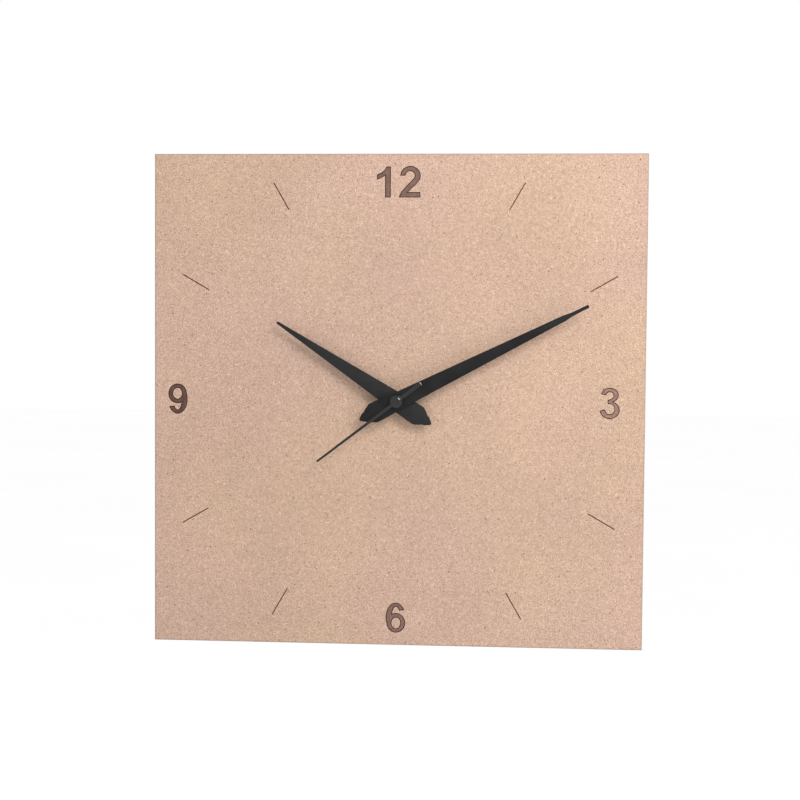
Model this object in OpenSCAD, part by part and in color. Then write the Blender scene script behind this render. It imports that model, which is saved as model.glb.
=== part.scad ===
// Square wall clock: an engraved fibreboard dial on a battery quartz movement.
// Modelled as seen from the front: x right, y up, z from the wall towards the viewer.
// stand_up() then turns it so that +Z is up and the dial faces -Y. Millimetres.

/* [Dial board] */
// Width and height of the square board
board_w = 300; // [240:1:400]
// Thickness of the board
board_t = 5; // [3:0.5:8]
// Small chamfer on the board's front and back edges
board_arris = 0.4; // [0.1:0.1:1]
// Slack of the board's shaft hole around the threaded bush, on the radius
board_hole_slack = 0.3; // [0.1:0.05:1]

/* [Dial markings] */
// Height of the numerals
numeral_h = 19; // [12:0.1:24]
// From the board's edge to the middle of the 12 and of the 6
numeral_margin = 17; // [14:0.5:30]
// From the board's edge to the middle of the 3 and of the 9, before their shift
side_margin = 17.8; // [14:0.1:30]
// How far the 3 and the 9 both stand to the left of that place
side_shift = 3.5; // [0:0.1:6]
// Length of the hour ticks
tick_len = 18.7; // [8:0.1:24]
// Width of the hour ticks
tick_w = 0.7; // [0.4:0.1:2]
// From the outer end of a tick to the nearest board edge
tick_margin = 17.5; // [6:0.5:30]
// Depth of the burnt fill inside a numeral
engrave_depth = 0.3; // [0.1:0.05:0.8]
// Depth of the scored line round a numeral and of the ticks
score_depth = 0.5; // [0.2:0.05:1]
// Width of the scored line round a numeral
score_w = 0.5; // [0.3:0.05:0.8]

/* [Hands] */
// Thickness of the hour and minute hands' sheet
hand_t = 0.5; // [0.3:0.05:0.8]
// Minute hand, centre to tip
minute_len = 129; // [90:1:150]
// Minute hand's width beside the centre
minute_root_w = 10.8; // [8:0.1:14]
// Minute hand's width where its blade ends and its narrow point begins
minute_shoulder_w = 3.6; // [2.6:0.1:6]
// Length of the minute hand's narrow point
minute_point_len = 16; // [8:0.5:24]
// Width at the minute hand's tip
minute_tip_w = 2; // [1:0.1:3]
// Hour hand, centre to tip
hour_len = 87.5; // [60:0.5:110]
// Hour hand's width beside the centre
hour_root_w = 11.4; // [8:0.1:14]
// Width at the hour hand's tip
hour_tip_w = 1.7; // [1:0.1:3]
// Length of the spear-shaped tail of both hands
hand_tail_len = 25; // [16:0.5:32]
// Greatest width of the tails
hand_tail_w = 12.4; // [10:0.1:16]
// Second hand, centre to tip
second_len = 60.5; // [40:0.5:80]
// Second hand, centre to the end of its counterweight tail
second_tail_len = 18.7; // [10:0.1:26]
// Width of the second hand's tip
second_tip_w = 1.3; // [0.8:0.1:2]
// Width of the second hand's needle beside the hub
second_root_w = 2; // [1.2:0.1:3]
// Width of the second hand's tail end
second_tail_w = 2.5; // [1.6:0.1:4]
// Thickness of the second hand's sheet
second_t = 0.3; // [0.2:0.05:0.5]
// Diameter of the second hand's hub disc
hub_disc_d = 7.6; // [5:0.1:12]
// Thickness of the hub disc
hub_disc_t = 0.8; // [0.5:0.1:1.5]

/* [Time shown, degrees clockwise from 12] */
// Angle of the hour hand
hour_angle = 303.2; // [0:0.1:360]
// Angle of the minute hand
minute_angle = 63.5; // [0:0.1:360]
// Angle of the second hand
second_angle = 231.9; // [0:0.1:360]

/* [Shaft stack] */
// Outer diameter of the threaded bush
thread_d = 8; // [7:0.1:10]
// Thread pitch
thread_pitch = 0.75; // [0.5:0.05:1]
// How far the bush stands out of the nut
bush_proud = 0.8; // [0.2:0.1:3]
// Thickness of the rubber pad between movement and board
pad_t = 1; // [0.5:0.1:2]
// Diameter of the rubber pad
pad_d = 24; // [16:0.5:30]
// Thickness of the face washer
washer_t = 0.6; // [0.3:0.1:1.5]
// Diameter of the face washer
washer_d = 12; // [11:0.1:20]
// Thickness of the nut
nut_t = 2.2; // [1.5:0.1:4]
// Nut width across flats
nut_af = 10; // [9.8:0.1:14]
// Outer diameter of the hour pipe
hour_pipe_d = 5; // [4.6:0.1:5.4]
// Outer diameter of the minute pipe
minute_pipe_d = 3.3; // [3:0.1:3.6]
// Diameter of the second arbor
second_arbor_d = 1; // [0.7:0.05:1.1]
// Gap along the shaft between one hand's parts and the next
hand_gap = 0.3; // [0.15:0.05:1]
// Length of the collars that grip the pipes under the hour and minute hands
collar_len = 1.3; // [0.8:0.1:3]
// Radial clearance of every turning fit
run_fit = 0.05; // [0.02:0.01:0.1]

/* [Movement case] */
// Width and height of the case
case_w = 56; // [55:0.5:70]
// Depth of the case
case_depth = 16; // [16:0.5:20]
// Thickness of the side walls
case_wall = 1.5; // [1:0.1:1.8]
// Thickness of the back wall
case_back = 1.4; // [1:0.05:1.4]
// Thickness of the front cover
cover_t = 1.3; // [0.8:0.1:1.6]
// Rounding of the case's corners
case_corner_r = 3; // [1:0.5:4]
// Width of the cover's seat on the case walls
cover_seat = 0.7; // [0.4:0.1:0.9]
// Diameter of the hanger's nail hole
nail_hole_d = 5.5; // [4:0.1:7]
// Thickness of the hanger
hanger_t = 2.6; // [1.6:0.1:4]
// From the case's top edge to the middle of the nail hole
hanger_rise = 7; // [6:0.5:12]
// Radius of the hanger's round end
hanger_r = 6.5; // [5:0.5:9]

/* [Battery and knob] */
// Diameter of the battery cell
cell_d = 14.2; // [13.5:0.1:14.3]
// Length of the battery cell over both ends
cell_len = 50.5; // [49:0.1:50.6]
// Diameter of the cell's positive nub
nub_d = 5.2; // [4:0.1:5.5]
// Length of the nub
nub_len = 1; // [0.8:0.1:1.4]
// Free space round the cell in its bay
bay_slack = 0.6; // [0.3:0.05:0.8]
// Diameter of the setting knob
knob_d = 11; // [8:0.5:12]
// Thickness of the setting knob
knob_t = 2.4; // [1.5:0.1:3]
// Notches round the setting knob
knob_notches = 24; // [13:1:36]

/* [Gear train] */
// Module of the rotor pinion and intermediate wheel
rotor_mod = 0.25; // [0.24:0.01:0.26]
// Module of the intermediate pinion and second wheel
second_mod = 0.32; // [0.31:0.01:0.33]
// Module of the second pinion and third wheel
third_mod = 0.28; // [0.27:0.01:0.29]
// Module of the motion work: minute pipe, minute wheel, hour wheel, setting pinion
motion_mod = 0.32; // [0.31:0.01:0.33]
// Thickness of the wheels
wheel_t = 0.8; // [0.5:0.1:0.9]
// Diameter of the arbors' pivots
pivot_d = 0.8; // [0.6:0.05:1]

/* [Hidden] */
$fn = 96;
eps = 0.01;

// Tooth counts. The rotor makes one turn in 2 s, so 30 turns for each turn of the second hand.
rotor_leaves = 8;
inter_teeth = 48;
inter_leaves = 8;
second_teeth = 40;
second_leaves = 8;
third_teeth = 60;
third_leaves = 8;
centre_teeth = 64;
cannon_leaves = 15;
minute_teeth = 45;
minute_leaves = 12;
hour_teeth = 48;
setting_leaves = 15;

// Tooth forms: addendum, dedendum, then tooth width at root, pitch circle and tip as shares of the tooth pitch
wheel_form = [0.95, 1.1, 0.56, 0.46, 0.14];
pinion_form = [0.6, 1.3, 0.32, 0.38, 0.20];

// Centre distances. The centre wheel shares the third wheel's distance, which sets its module.
inter_to_second = second_mod * (inter_leaves + second_teeth) / 2;
rotor_to_inter = rotor_mod * (rotor_leaves + inter_teeth) / 2;
third_to_second = third_mod * (second_leaves + third_teeth) / 2;
centre_mod = 2 * third_to_second / (third_leaves + centre_teeth);
minute_to_centre = motion_mod * (cannon_leaves + minute_teeth) / 2;
setting_to_minute = motion_mod * (setting_leaves + minute_teeth) / 2;

// Room inside the case, the coil at its top, and the stator's yoke just below the coil
cavity_half = case_w / 2 - case_wall;
coil_flange_r = 4;
coil_y = cavity_half - coil_flange_r - 0.5;
stator_hole_r = 3.3;
yoke_h = stator_hole_r + 0.9;
yoke_gap = 0.535;
rotor_y = coil_y - coil_flange_r - yoke_gap - yoke_h;

// Directions between arbors, degrees from the x axis. The rotor stands as high as the yoke, or straight above
// the intermediate arbor where their distance doesn't reach that high.
function polar(r, a) = [r * cos(a), r * sin(a)];
inter_dir = 55;
inter_at = polar(inter_to_second, inter_dir);
rotor_dir = 180 - asin(min(1, (rotor_y - inter_at[1]) / rotor_to_inter));
third_dir = 150;
minute_dir = 30;
setting_dir = -10;

rotor_at = inter_at + polar(rotor_to_inter, rotor_dir);
third_at = polar(third_to_second, third_dir);
minute_at = polar(minute_to_centre, minute_dir);
setting_at = minute_at + polar(setting_to_minute, setting_dir);

// Distances from the wall along the shaft
pad_z = case_depth;
board_z = pad_z + pad_t;
face_z = board_z + board_t;
nut_z = face_z + washer_t;
bush_top = nut_z + nut_t + bush_proud;
hour_hand_z = bush_top + hand_gap + collar_len;
hour_pipe_top = hour_hand_z + hand_t + hand_gap;
minute_hand_z = hour_pipe_top + hand_gap + collar_len;
minute_pipe_top = minute_hand_z + hand_t + hand_gap;
second_tube_z = minute_pipe_top + hand_gap;
second_tube_len = 1;
second_hand_z = second_tube_z + second_tube_len;
second_arbor_top = second_hand_z + second_t;

// Layers inside the case, distances from the wall
boss_top = 2.1;
inter_wheel_z = 2.6;
second_wheel_z = 4.1;
stator_z = 4.6;
second_pinion_z = second_wheel_z + wheel_t + 0.2;
third_wheel_z = 5.8;
bridge_z = 6.8;
bridge_t = 0.8;
arbor_flange_z = bridge_z + bridge_t + 0.25;
arbor_flange_t = 0.3;
centre_wheel_z = arbor_flange_z + arbor_flange_t + 0.05;
spring_z = centre_wheel_z + wheel_t + 0.03;
spring_t = 0.15;
cannon_z = spring_z + spring_t + 0.07;
cannon_len = 1.4;
minute_wheel_z = cannon_z + 0.3;
minute_pinion_z = minute_wheel_z + wheel_t;
minute_pinion_len = 2.2;
hour_wheel_z = minute_pinion_z + 0.8;
cover_z = case_depth - cover_t;
bush_flange_t = 0.8;
bush_flange_d = 12;

// Battery bay
bay_half_h = cell_d / 2 + bay_slack;
bay_y = -cavity_half + bay_half_h - 0.2;
bay_top = bay_y + bay_half_h;
bay_wall = 1;
cavity_floor = bay_top + bay_wall;
bay_floor = 1.2;
cell_z = (case_depth - bay_floor) / 2 + 0.15;
bore_slack = run_fit / 2;

// Contacts
strip_t = 0.4;
strip_w = 4;
strip_z = cell_z - strip_w / 2;
cell_right = cavity_half - strip_t;
rail_w = 1.6;
rail_y = cavity_floor + 0.4;
rail_z = case_back + 0.1;
rail_x = cavity_half - 3.4;
board_pcb_z = 2.2;
pcb_t = 0.8;
pcb_low = [-cavity_half + 0.8, cavity_half - 11.2];
pcb_size = [15.6, 10.6];

// Hanger
hanger_flare = 4;
notch_h = 1;

// Bosses, posts and bearings
boss_r = 1.3;
post_r = 1.6;
peg_r = 0.8;
bridge_posts = [[-21, -5.9], [-21, 12.3], [23, -5.9], [23, 12.3]];
third_boss_z = centre_wheel_z + wheel_t + 0.5;
setting_boss_z = cannon_z + cannon_len + 0.3;
minute_boss_z = minute_pinion_z + minute_pinion_len + 0.3;
third_shaft_r = 0.7;
rotor_shaft_r = 0.6;
hub_neck_r = 0.9;

// Setting knob and the cup that it sits in
knob_z = 0.2;
stem_r = 1;
well_r = knob_d / 2 + 0.4;
well_wall = 1;
well_top = knob_z + knob_t + 0.3 + well_wall;

// Shallow moulded marks in the case's back: a blank panel, rounds left by ejector pins, an arrow round the knob
panel_at = [-10, cavity_half - 12];
panel_size = [24, 14];
panel_depth = 0.3;
ejector_r = 1.6;
ejector_depth = 0.15;
ejectors_at = [[-22, cavity_floor + 6], [7, cavity_floor + 5], [cavity_half - 4, cavity_half - 4]];
arrow_r = well_r + 2;
arrow_w = 0.7;
arrow_head = [0.8, 2];
arrow_span = [95, 200];

// Cover hooks
hook_ys = [0, 19];
hook_t = 0.9;
hook_w = 5;
hook_h = 1.2;
hook_z = cover_z - 4;

// Coil and stator
coil_len = 18;
coil_r = 3.6;
coil_flange_t = 0.8;
bobbin_tube_r = 2.2;
coil_at = [rotor_at[0], coil_y];
core_t = 1.2;
core_w = 3;
stator_t = 1;
arm_w = 3.4;
arm_gap = 0.35;
magnet_r = 2.8;
magnet_z = 3.9;
magnet_len = 2.5;
core_z = stator_z + stator_t;
coil_z = core_z + core_t / 2;
screw_r = 0.8;
screw_end_z = 2.6;
screws_at = [for (side = [-1, 1]) [coil_at[0] + side * (coil_len / 2 + arm_gap + arm_w / 2), coil_at[1]]];

// Turn of a gear whose teeth fit those of its driver, which lies in the opposite direction
function meshed(driver_turn, driver_teeth, teeth, direction) =
    direction + 180 + 180 / teeth + (direction - driver_turn) * driver_teeth / teeth;

second_wheel_turn = 0;
second_pinion_turn = 0;
inter_pinion_turn = meshed(second_wheel_turn, second_teeth, inter_leaves, inter_dir);
inter_wheel_turn = inter_pinion_turn;
rotor_pinion_turn = meshed(inter_wheel_turn, inter_teeth, rotor_leaves, rotor_dir);
third_wheel_turn = meshed(second_pinion_turn, second_leaves, third_teeth, third_dir);
third_pinion_turn = 0;
centre_wheel_turn = meshed(third_pinion_turn, third_leaves, centre_teeth, third_dir + 180);
cannon_turn = 0;
minute_wheel_turn = meshed(cannon_turn, cannon_leaves, minute_teeth, minute_dir);
minute_pinion_turn = minute_wheel_turn;
hour_wheel_turn = meshed(minute_pinion_turn, minute_leaves, hour_teeth, minute_dir + 180);
setting_pinion_turn = meshed(minute_wheel_turn, minute_teeth, setting_leaves, setting_dir);

// ---------------------------------------------------------------- helpers

// Turns the wall-to-viewer direction z into -Y, and up into +Z.
module stand_up() rotate([90, 0, 0]) children();

// Outline of a gear: six points a tooth, with a tooth centred on the x axis.
function gear_points(teeth, mod, form) =
    let (r = teeth * mod / 2, half = 180 / teeth)
    [for (i = [0:teeth - 1])
        for (p = [[r - form[1] * mod, -form[2]], [r, -form[3]], [r + form[0] * mod, -form[4]],
                  [r + form[0] * mod, form[4]], [r, form[3]], [r - form[1] * mod, form[2]]])
            polar(p[0], 2 * half * i + half * p[1])];

module gear(teeth, mod, form, thick, turn = 0) {
    rotate([0, 0, turn])
        linear_extrude(height = thick)
            polygon(gear_points(teeth, mod, form));
}

module disc(r, thick, z = 0) translate([0, 0, z]) cylinder(r = r, h = thick);

module at(p) translate([p[0], p[1], 0]) children();

module rounded_square(w, h, r) {
    for (x = [-1, 1])
        for (y = [-1, 1])
            translate([x * (w / 2 - r), y * (h / 2 - r)])
                circle(r = r);
    square([w - 2 * r, h], center = true);
    square([w, h - 2 * r], center = true);
}

// Points along an ellipse with centre c and half-axes r, from angle a to angle b.
function arc(c, r, a, b, steps = 18) =
    [for (i = [0:steps]) let (t = a + (b - a) * i / steps) [c[0] + r[0] * cos(t), c[1] + r[1] * sin(t)]];

function reversed(list) = [for (i = [len(list) - 1:-1:0]) list[i]];

// Part of a ring between two ellipses, from angle a to angle b.
module band(outer_c, outer_r, inner_c, inner_r, a, b) {
    polygon(concat(arc(outer_c, outer_r, a, b), reversed(arc(inner_c, inner_r, a, b))));
}

// ---------------------------------------------------------------- numerals, drawn 19 high about their middle

glyph_h = 19;

module glyph_1() {
    polygon([[4.2, 9.3], [1.6, 9.3], [0.4, 7.3], [-1.6, 5.6], [-4.3, 4.4], [-4.3, 1.3],
             [-1.6, 2.4], [0.7, 3.7], [0.7, -9.4], [4.2, -9.4]]);
}

// Arch, sweeping diagonal and foot, as one outline.
module glyph_2() {
    polygon(concat(
        arc([0.3, 3.7], [6.2, 5.9], 180, -25, 24),
        [[3.9, -1.4], [1.4, -3.6], [-1.1, -6.1], [6.4, -6.1], [6.4, -9.4], [-6.6, -9.4],
         [-6.2, -7.9], [-5.2, -6], [-2.4, -2.6], [0.6, 0.4]],
        arc([0.1, 3.8], [2.8, 2.7], -38, 180, 18)));
}

module glyph_3() {
    band([0, 5], [5.3, 4.5], [0, 4.7], [2.2, 2.1], 175, -90);
    band([0, -4.1], [6, 5.4], [0, -3.5], [2.8, 3.1], 90, -176);
    translate([-1.3, -0.4])
        square([2, 2.6]);
}

module glyph_6() {
    // top arc and left side, then the bowl
    polygon(concat(arc([0, 0], [6.2, 9.2], 31, 200, 24), arc([0.1, 0.2], [2.5, 6.4], 200, 38, 24)));
    difference() {
        translate([0.1, -3.3])
            polygon(arc([0, 0], [5.8, 6.1], 0, 350, 35));
        translate([0.1, -3.4])
            polygon(arc([0, 0], [2.7, 3.3], 0, 350, 35));
    }
}

module glyph_9() rotate([0, 0, 180]) glyph_6();

module numeral(which) {
    scale(numeral_h / glyph_h) {
        if (which == 12) {
            translate([-9.1, 0])
                glyph_1();
            translate([6.7, 0])
                glyph_2();
        }
        if (which == 3)
            glyph_3();
        if (which == 6)
            glyph_6();
        if (which == 9)
            glyph_9();
    }
}

module each_numeral() {
    high = board_w / 2 - numeral_margin;
    wide = board_w / 2 - side_margin;
    for (n = [[12, 0, high], [3, wide - side_shift, 0], [6, 0, -high], [9, -wide - side_shift, 0]])
        translate([n[1], n[2]])
            numeral(n[0]);
}

// Thin radial lines at the eight hours that have no numeral.
module ticks() {
    tick_out = (board_w / 2 - tick_margin) / cos(30);
    for (hour = [1, 2, 4, 5, 7, 8, 10, 11])
        rotate([0, 0, -30 * hour])
            translate([-tick_w / 2, tick_out - tick_len])
                square([tick_w, tick_len]);
}

// ---------------------------------------------------------------- dial and its clamping parts

// Bar that chamfers one long edge of the board, at height z.
module edge_cut(z) {
    for (side = [0:3])
        rotate([0, 0, 90 * side])
            translate([board_w / 2, 0, z])
                rotate([0, 45, 0])
                    cube([board_arris * sqrt(2), board_w + 2, board_arris * sqrt(2)], center = true);
}

module dial_board() {
    color("burlywood")
        difference() {
            translate([-board_w / 2, -board_w / 2, board_z])
                cube([board_w, board_w, board_t]);
            edge_cut(board_z);
            edge_cut(face_z);
            disc(thread_d / 2 + board_hole_slack, board_t + 2, board_z - 1);
            translate([0, 0, face_z - engrave_depth])
                linear_extrude(height = 1)
                    each_numeral();
            translate([0, 0, face_z - score_depth])
                linear_extrude(height = 1)
                    difference() {
                        each_numeral();
                        offset(delta = -score_w)
                            each_numeral();
                    }
            translate([0, 0, face_z - score_depth])
                linear_extrude(height = 1)
                    ticks();
        }
}

module rubber_pad() {
    color("#2a2a2a")
        translate([0, 0, pad_z])
            difference() {
                disc(pad_d / 2, pad_t);
                disc(thread_d / 2 + board_hole_slack, pad_t + 2, -1);
            }
}

module face_washer() {
    color("#c9a24a")
        translate([0, 0, face_z])
            difference() {
                disc(washer_d / 2, washer_t);
                disc(thread_d / 2 + 0.1, washer_t + 2, -1);
            }
}

// Hexagon with both faces chamfered at the corners.
module hex_nut() {
    corner_r = nut_af / 2 / cos(30);
    color("#c9a24a")
        translate([0, 0, nut_z])
            difference() {
                intersection() {
                    cylinder(r = corner_r, h = nut_t, $fn = 6);
                    rotate_extrude()
                        polygon([[0, 0], [corner_r - 0.45, 0], [corner_r + 0.05, 0.3],
                                 [corner_r + 0.05, nut_t - 0.3], [corner_r - 0.45, nut_t], [0, nut_t]]);
                }
                disc(thread_d / 2 + 0.02, nut_t + 2, -1);
            }
}

// ---------------------------------------------------------------- hands

// Blade that is symmetrical about the y axis, from pairs of [distance from the centre, half width].
module blade(stations) {
    polygon(concat([for (s = stations) [s[1], s[0]]],
                   [for (s = reversed(stations)) [-s[1], s[0]]]));
}

// Spear-shaped tail: a point, a small step in its sides, and the widest place behind them.
function tail_stations(root_w) = [
    [-hand_tail_len, 0.55], [-0.885 * hand_tail_len, 0.22 * hand_tail_w],
    [-0.81 * hand_tail_len, 0.265 * hand_tail_w], [-0.75 * hand_tail_len, 0.37 * hand_tail_w],
    [-0.63 * hand_tail_len, hand_tail_w / 2], [-0.36 * hand_tail_len, 0.49 * hand_tail_w], [0, root_w / 2]
];

module hour_hand() {
    color("#26272a")
        translate([0, 0, hour_hand_z])
            rotate([0, 0, -hour_angle])
                linear_extrude(height = hand_t)
                    difference() {
                        blade(concat(tail_stations(hour_root_w),
                                     [[hour_len - 0.4, hour_tip_w / 2], [hour_len, hour_tip_w / 4]]));
                        circle(r = hour_pipe_d / 2 + bore_slack);
                    }
}

module minute_hand() {
    shoulder = minute_len - minute_point_len;
    color("#26272a")
        translate([0, 0, minute_hand_z])
            rotate([0, 0, -minute_angle])
                linear_extrude(height = hand_t)
                    difference() {
                        blade(concat(tail_stations(minute_root_w),
                                     [[shoulder, minute_shoulder_w / 2],
                                      [shoulder + 0.3 * minute_point_len, minute_tip_w / 2 + 0.2],
                                      [minute_len, minute_tip_w / 2]]));
                        circle(r = minute_pipe_d / 2 + bore_slack);
                    }
}

// Turned collar under a hand, with a small lead-in at its free end.
module collar(pipe_d, wall) {
    bore = pipe_d / 2 + bore_slack;
    rotate_extrude()
        polygon([[bore, 0], [bore + wall - 0.25, 0], [bore + wall, 0.25],
                 [bore + wall, collar_len], [bore, collar_len]]);
}

module hour_hand_collar() {
    color("#b8b8b4")
        translate([0, 0, hour_hand_z - collar_len])
            collar(hour_pipe_d, 1.3);
}

module minute_hand_collar() {
    color("#b8b8b4")
        translate([0, 0, minute_hand_z - collar_len])
            collar(minute_pipe_d, 1.1);
}

module second_hand() {
    color("#1c1c1e")
        translate([0, 0, second_hand_z])
            rotate([0, 0, -second_angle])
                linear_extrude(height = second_t)
                    difference() {
                        union() {
                            blade([[-second_tail_len, second_tail_w / 2 - 0.3],
                                   [-second_tail_len + 0.3, second_tail_w / 2],
                                   [0, second_root_w / 2], [second_len, second_tip_w / 2]]);
                            circle(r = hub_neck_r + 1);
                        }
                        circle(r = hub_neck_r + bore_slack);
                    }
}

// Tube that grips the second arbor, a neck through the needle's eye, and the disc in front of it.
module second_hand_hub() {
    bore = second_arbor_d / 2 + bore_slack;
    eye_z = second_hand_z + second_t;
    top = eye_z + hub_disc_t;
    color("#232326")
        rotate_extrude()
            polygon([[0, second_arbor_top], [bore, second_arbor_top], [bore, second_tube_z],
                     [hub_neck_r + 0.5, second_tube_z], [hub_neck_r + 0.5, second_hand_z],
                     [hub_neck_r, second_hand_z], [hub_neck_r, eye_z], [hub_disc_d / 2, eye_z],
                     [hub_disc_d / 2, top - 0.25], [hub_disc_d / 2 - 0.25, top], [0, top]]);
}

// ---------------------------------------------------------------- movement case

// Clip-on hanger: a tab with a nail hole, and a foot in a notch of the case's back edge.
module hanger() {
    top = case_w / 2 + hanger_rise;
    foot_w = 2 * (hanger_r + hanger_flare);
    color("#1d1d20")
        difference() {
            linear_extrude(height = hanger_t) {
                translate([0, top])
                    circle(r = hanger_r);
                translate([-foot_w / 2, case_w / 2 - notch_h])
                    square([foot_w, notch_h]);
                polygon([[-foot_w / 2, case_w / 2 - eps], [foot_w / 2, case_w / 2 - eps],
                         [hanger_r * 0.98, top + 0.2 * hanger_r], [-hanger_r * 0.98, top + 0.2 * hanger_r]]);
            }
            at([0, top])
                disc(nail_hole_d / 2, hanger_t + 2, -1);
        }
}

// Everything that stands on the inside of the back wall.
module case_posts() {
    for (p = [[0, 0], inter_at, rotor_at, third_at])
        at(p)
            disc(boss_r, boss_top - case_back / 2, case_back / 2);
    for (p = bridge_posts)
        at(p) {
            disc(post_r, bridge_z - case_back / 2, case_back / 2);
            disc(peg_r, bridge_t + 0.4, bridge_z - eps);
        }
    for (p = screws_at)
        at(p)
            disc(post_r, stator_z - case_back / 2, case_back / 2);
    at(setting_at)
        disc(well_r + well_wall, well_top);
    // ledges under the circuit board
    for (x = [pcb_low[0] + 4, pcb_low[0] + pcb_size[0] - 2])
        translate([x, pcb_low[1] + 1, case_back / 2])
            cube([1, pcb_size[1] - 2, board_pcb_z - case_back / 2]);
}

// Marks in the back of the case, cut from the wall side.
module back_marks() {
    translate([panel_at[0], panel_at[1], -1])
        linear_extrude(height = panel_depth + 1)
            rounded_square(panel_size[0], panel_size[1], 1.5);
    for (p = ejectors_at)
        at(p)
            disc(ejector_r, ejector_depth + 1, -1);
    at(setting_at)
        translate([0, 0, -1])
            linear_extrude(height = panel_depth + 1) {
                band([0, 0], [arrow_r + arrow_w, arrow_r + arrow_w], [0, 0], [arrow_r, arrow_r],
                     arrow_span[0], arrow_span[1]);
                rotate([0, 0, arrow_span[0]])
                    polygon([[arrow_r - arrow_head[0], eps], [arrow_r + arrow_w + arrow_head[0], eps],
                             [arrow_r + arrow_w / 2, -arrow_head[1]]]);
            }
}

module case_cuts() {
    back_marks();
    translate([-cavity_half, bay_y - bay_half_h, -1])
        cube([2 * cavity_half, 2 * bay_half_h, case_depth - bay_floor + 1]);
    // slots that let the two contact strips out of the bay
    for (side = [-1, 1])
        translate([side * (cavity_half - strip_t) - strip_t, bay_top - 1, strip_z - 0.2])
            cube([2 * strip_t, bay_wall + 2, strip_w + 0.4]);
    // notch for the hanger's foot
    translate([-hanger_r - hanger_flare - 0.02, case_w / 2 - notch_h, -1])
        cube([2 * (hanger_r + hanger_flare) + 0.04, notch_h + 1, hanger_t + 1]);
    for (p = [[0, 0], inter_at, rotor_at, third_at])
        at(p)
            disc(pivot_d / 2 + run_fit, boss_top, case_back);
    for (p = screws_at)
        at(p)
            disc(screw_r + bore_slack, stator_z, screw_end_z - 0.2);
    at(setting_at) {
        disc(well_r, well_top - well_wall + 1, -1);
        disc(stem_r + run_fit, case_depth, -1);
    }
    // windows for the cover's hooks
    for (side = [-1, 1])
        for (y = hook_ys)
            translate([side * (cavity_half + case_wall / 2), y, hook_z + hook_h / 2])
                cube([case_wall + 0.2, hook_w + 0.4, hook_h + 0.3], center = true);
}

module movement_case() {
    color("#1d1d20")
        difference() {
            union() {
                difference() {
                    linear_extrude(height = case_depth)
                        rounded_square(case_w, case_w, case_corner_r);
                    translate([-cavity_half, cavity_floor, case_back])
                        cube([2 * cavity_half, cavity_half - cavity_floor, case_depth]);
                    translate([-cavity_half - cover_seat, cavity_floor - cover_seat, cover_z])
                        cube([2 * (cavity_half + cover_seat),
                              cavity_half - cavity_floor + 2 * cover_seat, case_depth]);
                }
                case_posts();
            }
            case_cuts();
        }
}

// Leg and barb of one snap hook, hanging from the cover beside the case wall.
module hook(side, y) {
    inner = cavity_half - 0.15 - hook_t;
    translate([side > 0 ? inner : -inner - hook_t, y - hook_w / 2, hook_z])
        cube([hook_t, hook_w, cover_z - hook_z + eps]);
    translate([0, y + hook_w / 2, 0])
        rotate([90, 0, 0])
            linear_extrude(height = hook_w)
                polygon([[side * (inner + hook_t - eps), hook_z],
                         [side * (inner + hook_t - eps), hook_z + hook_h],
                         [side * (cavity_half + 0.6), hook_z + hook_h]]);
}

module front_cover() {
    slack = 0.1;
    left = -cavity_half - cover_seat + slack;
    low = cavity_floor - cover_seat + slack;
    color("#1d1d20")
        difference() {
            union() {
                translate([left, low, cover_z])
                    cube([-2 * left, cavity_half + cover_seat - slack - low, cover_t]);
                at(third_at)
                    disc(boss_r - 0.1, cover_z - third_boss_z + eps, third_boss_z);
                at(setting_at)
                    disc(boss_r, cover_z - setting_boss_z + eps, setting_boss_z);
                at(minute_at)
                    disc(boss_r, cover_z - minute_boss_z + eps, minute_boss_z);
                for (side = [-1, 1])
                    for (y = hook_ys)
                        hook(side, y);
            }
            disc(thread_d / 2 + bore_slack, cover_t + 2, cover_z - 1);
            at(third_at)
                disc(pivot_d / 2 + run_fit, 1.2, third_boss_z - 0.2);
            at(setting_at)
                disc(pivot_d / 2 + run_fit, 1.2, setting_boss_z - 0.2);
            at(minute_at)
                disc(pivot_d / 2 + run_fit, 1.2, minute_boss_z - 0.2);
        }
}

// Bush with a flange inside the cover and ring-grooved threads along its free length.
module threaded_bush() {
    r = thread_d / 2;
    groove = 0.6 * thread_pitch;
    turns = floor((bush_top - 0.5 - case_depth - 0.5) / thread_pitch);
    start = bush_top - 0.5 - turns * thread_pitch;
    color("#c9a24a")
        rotate_extrude()
            polygon(concat(
                [[hour_pipe_d / 2 + run_fit, cover_z - bush_flange_t],
                 [bush_flange_d / 2, cover_z - bush_flange_t], [bush_flange_d / 2, cover_z], [r, cover_z]],
                [for (i = [0:turns - 1])
                    for (p = [[r, 0], [r - groove, thread_pitch / 2]])
                        [p[0], start + i * thread_pitch + p[1]]],
                [[r, start + turns * thread_pitch], [r, bush_top - 0.3], [r - 0.3, bush_top],
                 [hour_pipe_d / 2 + run_fit, bush_top]]));
}

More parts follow.
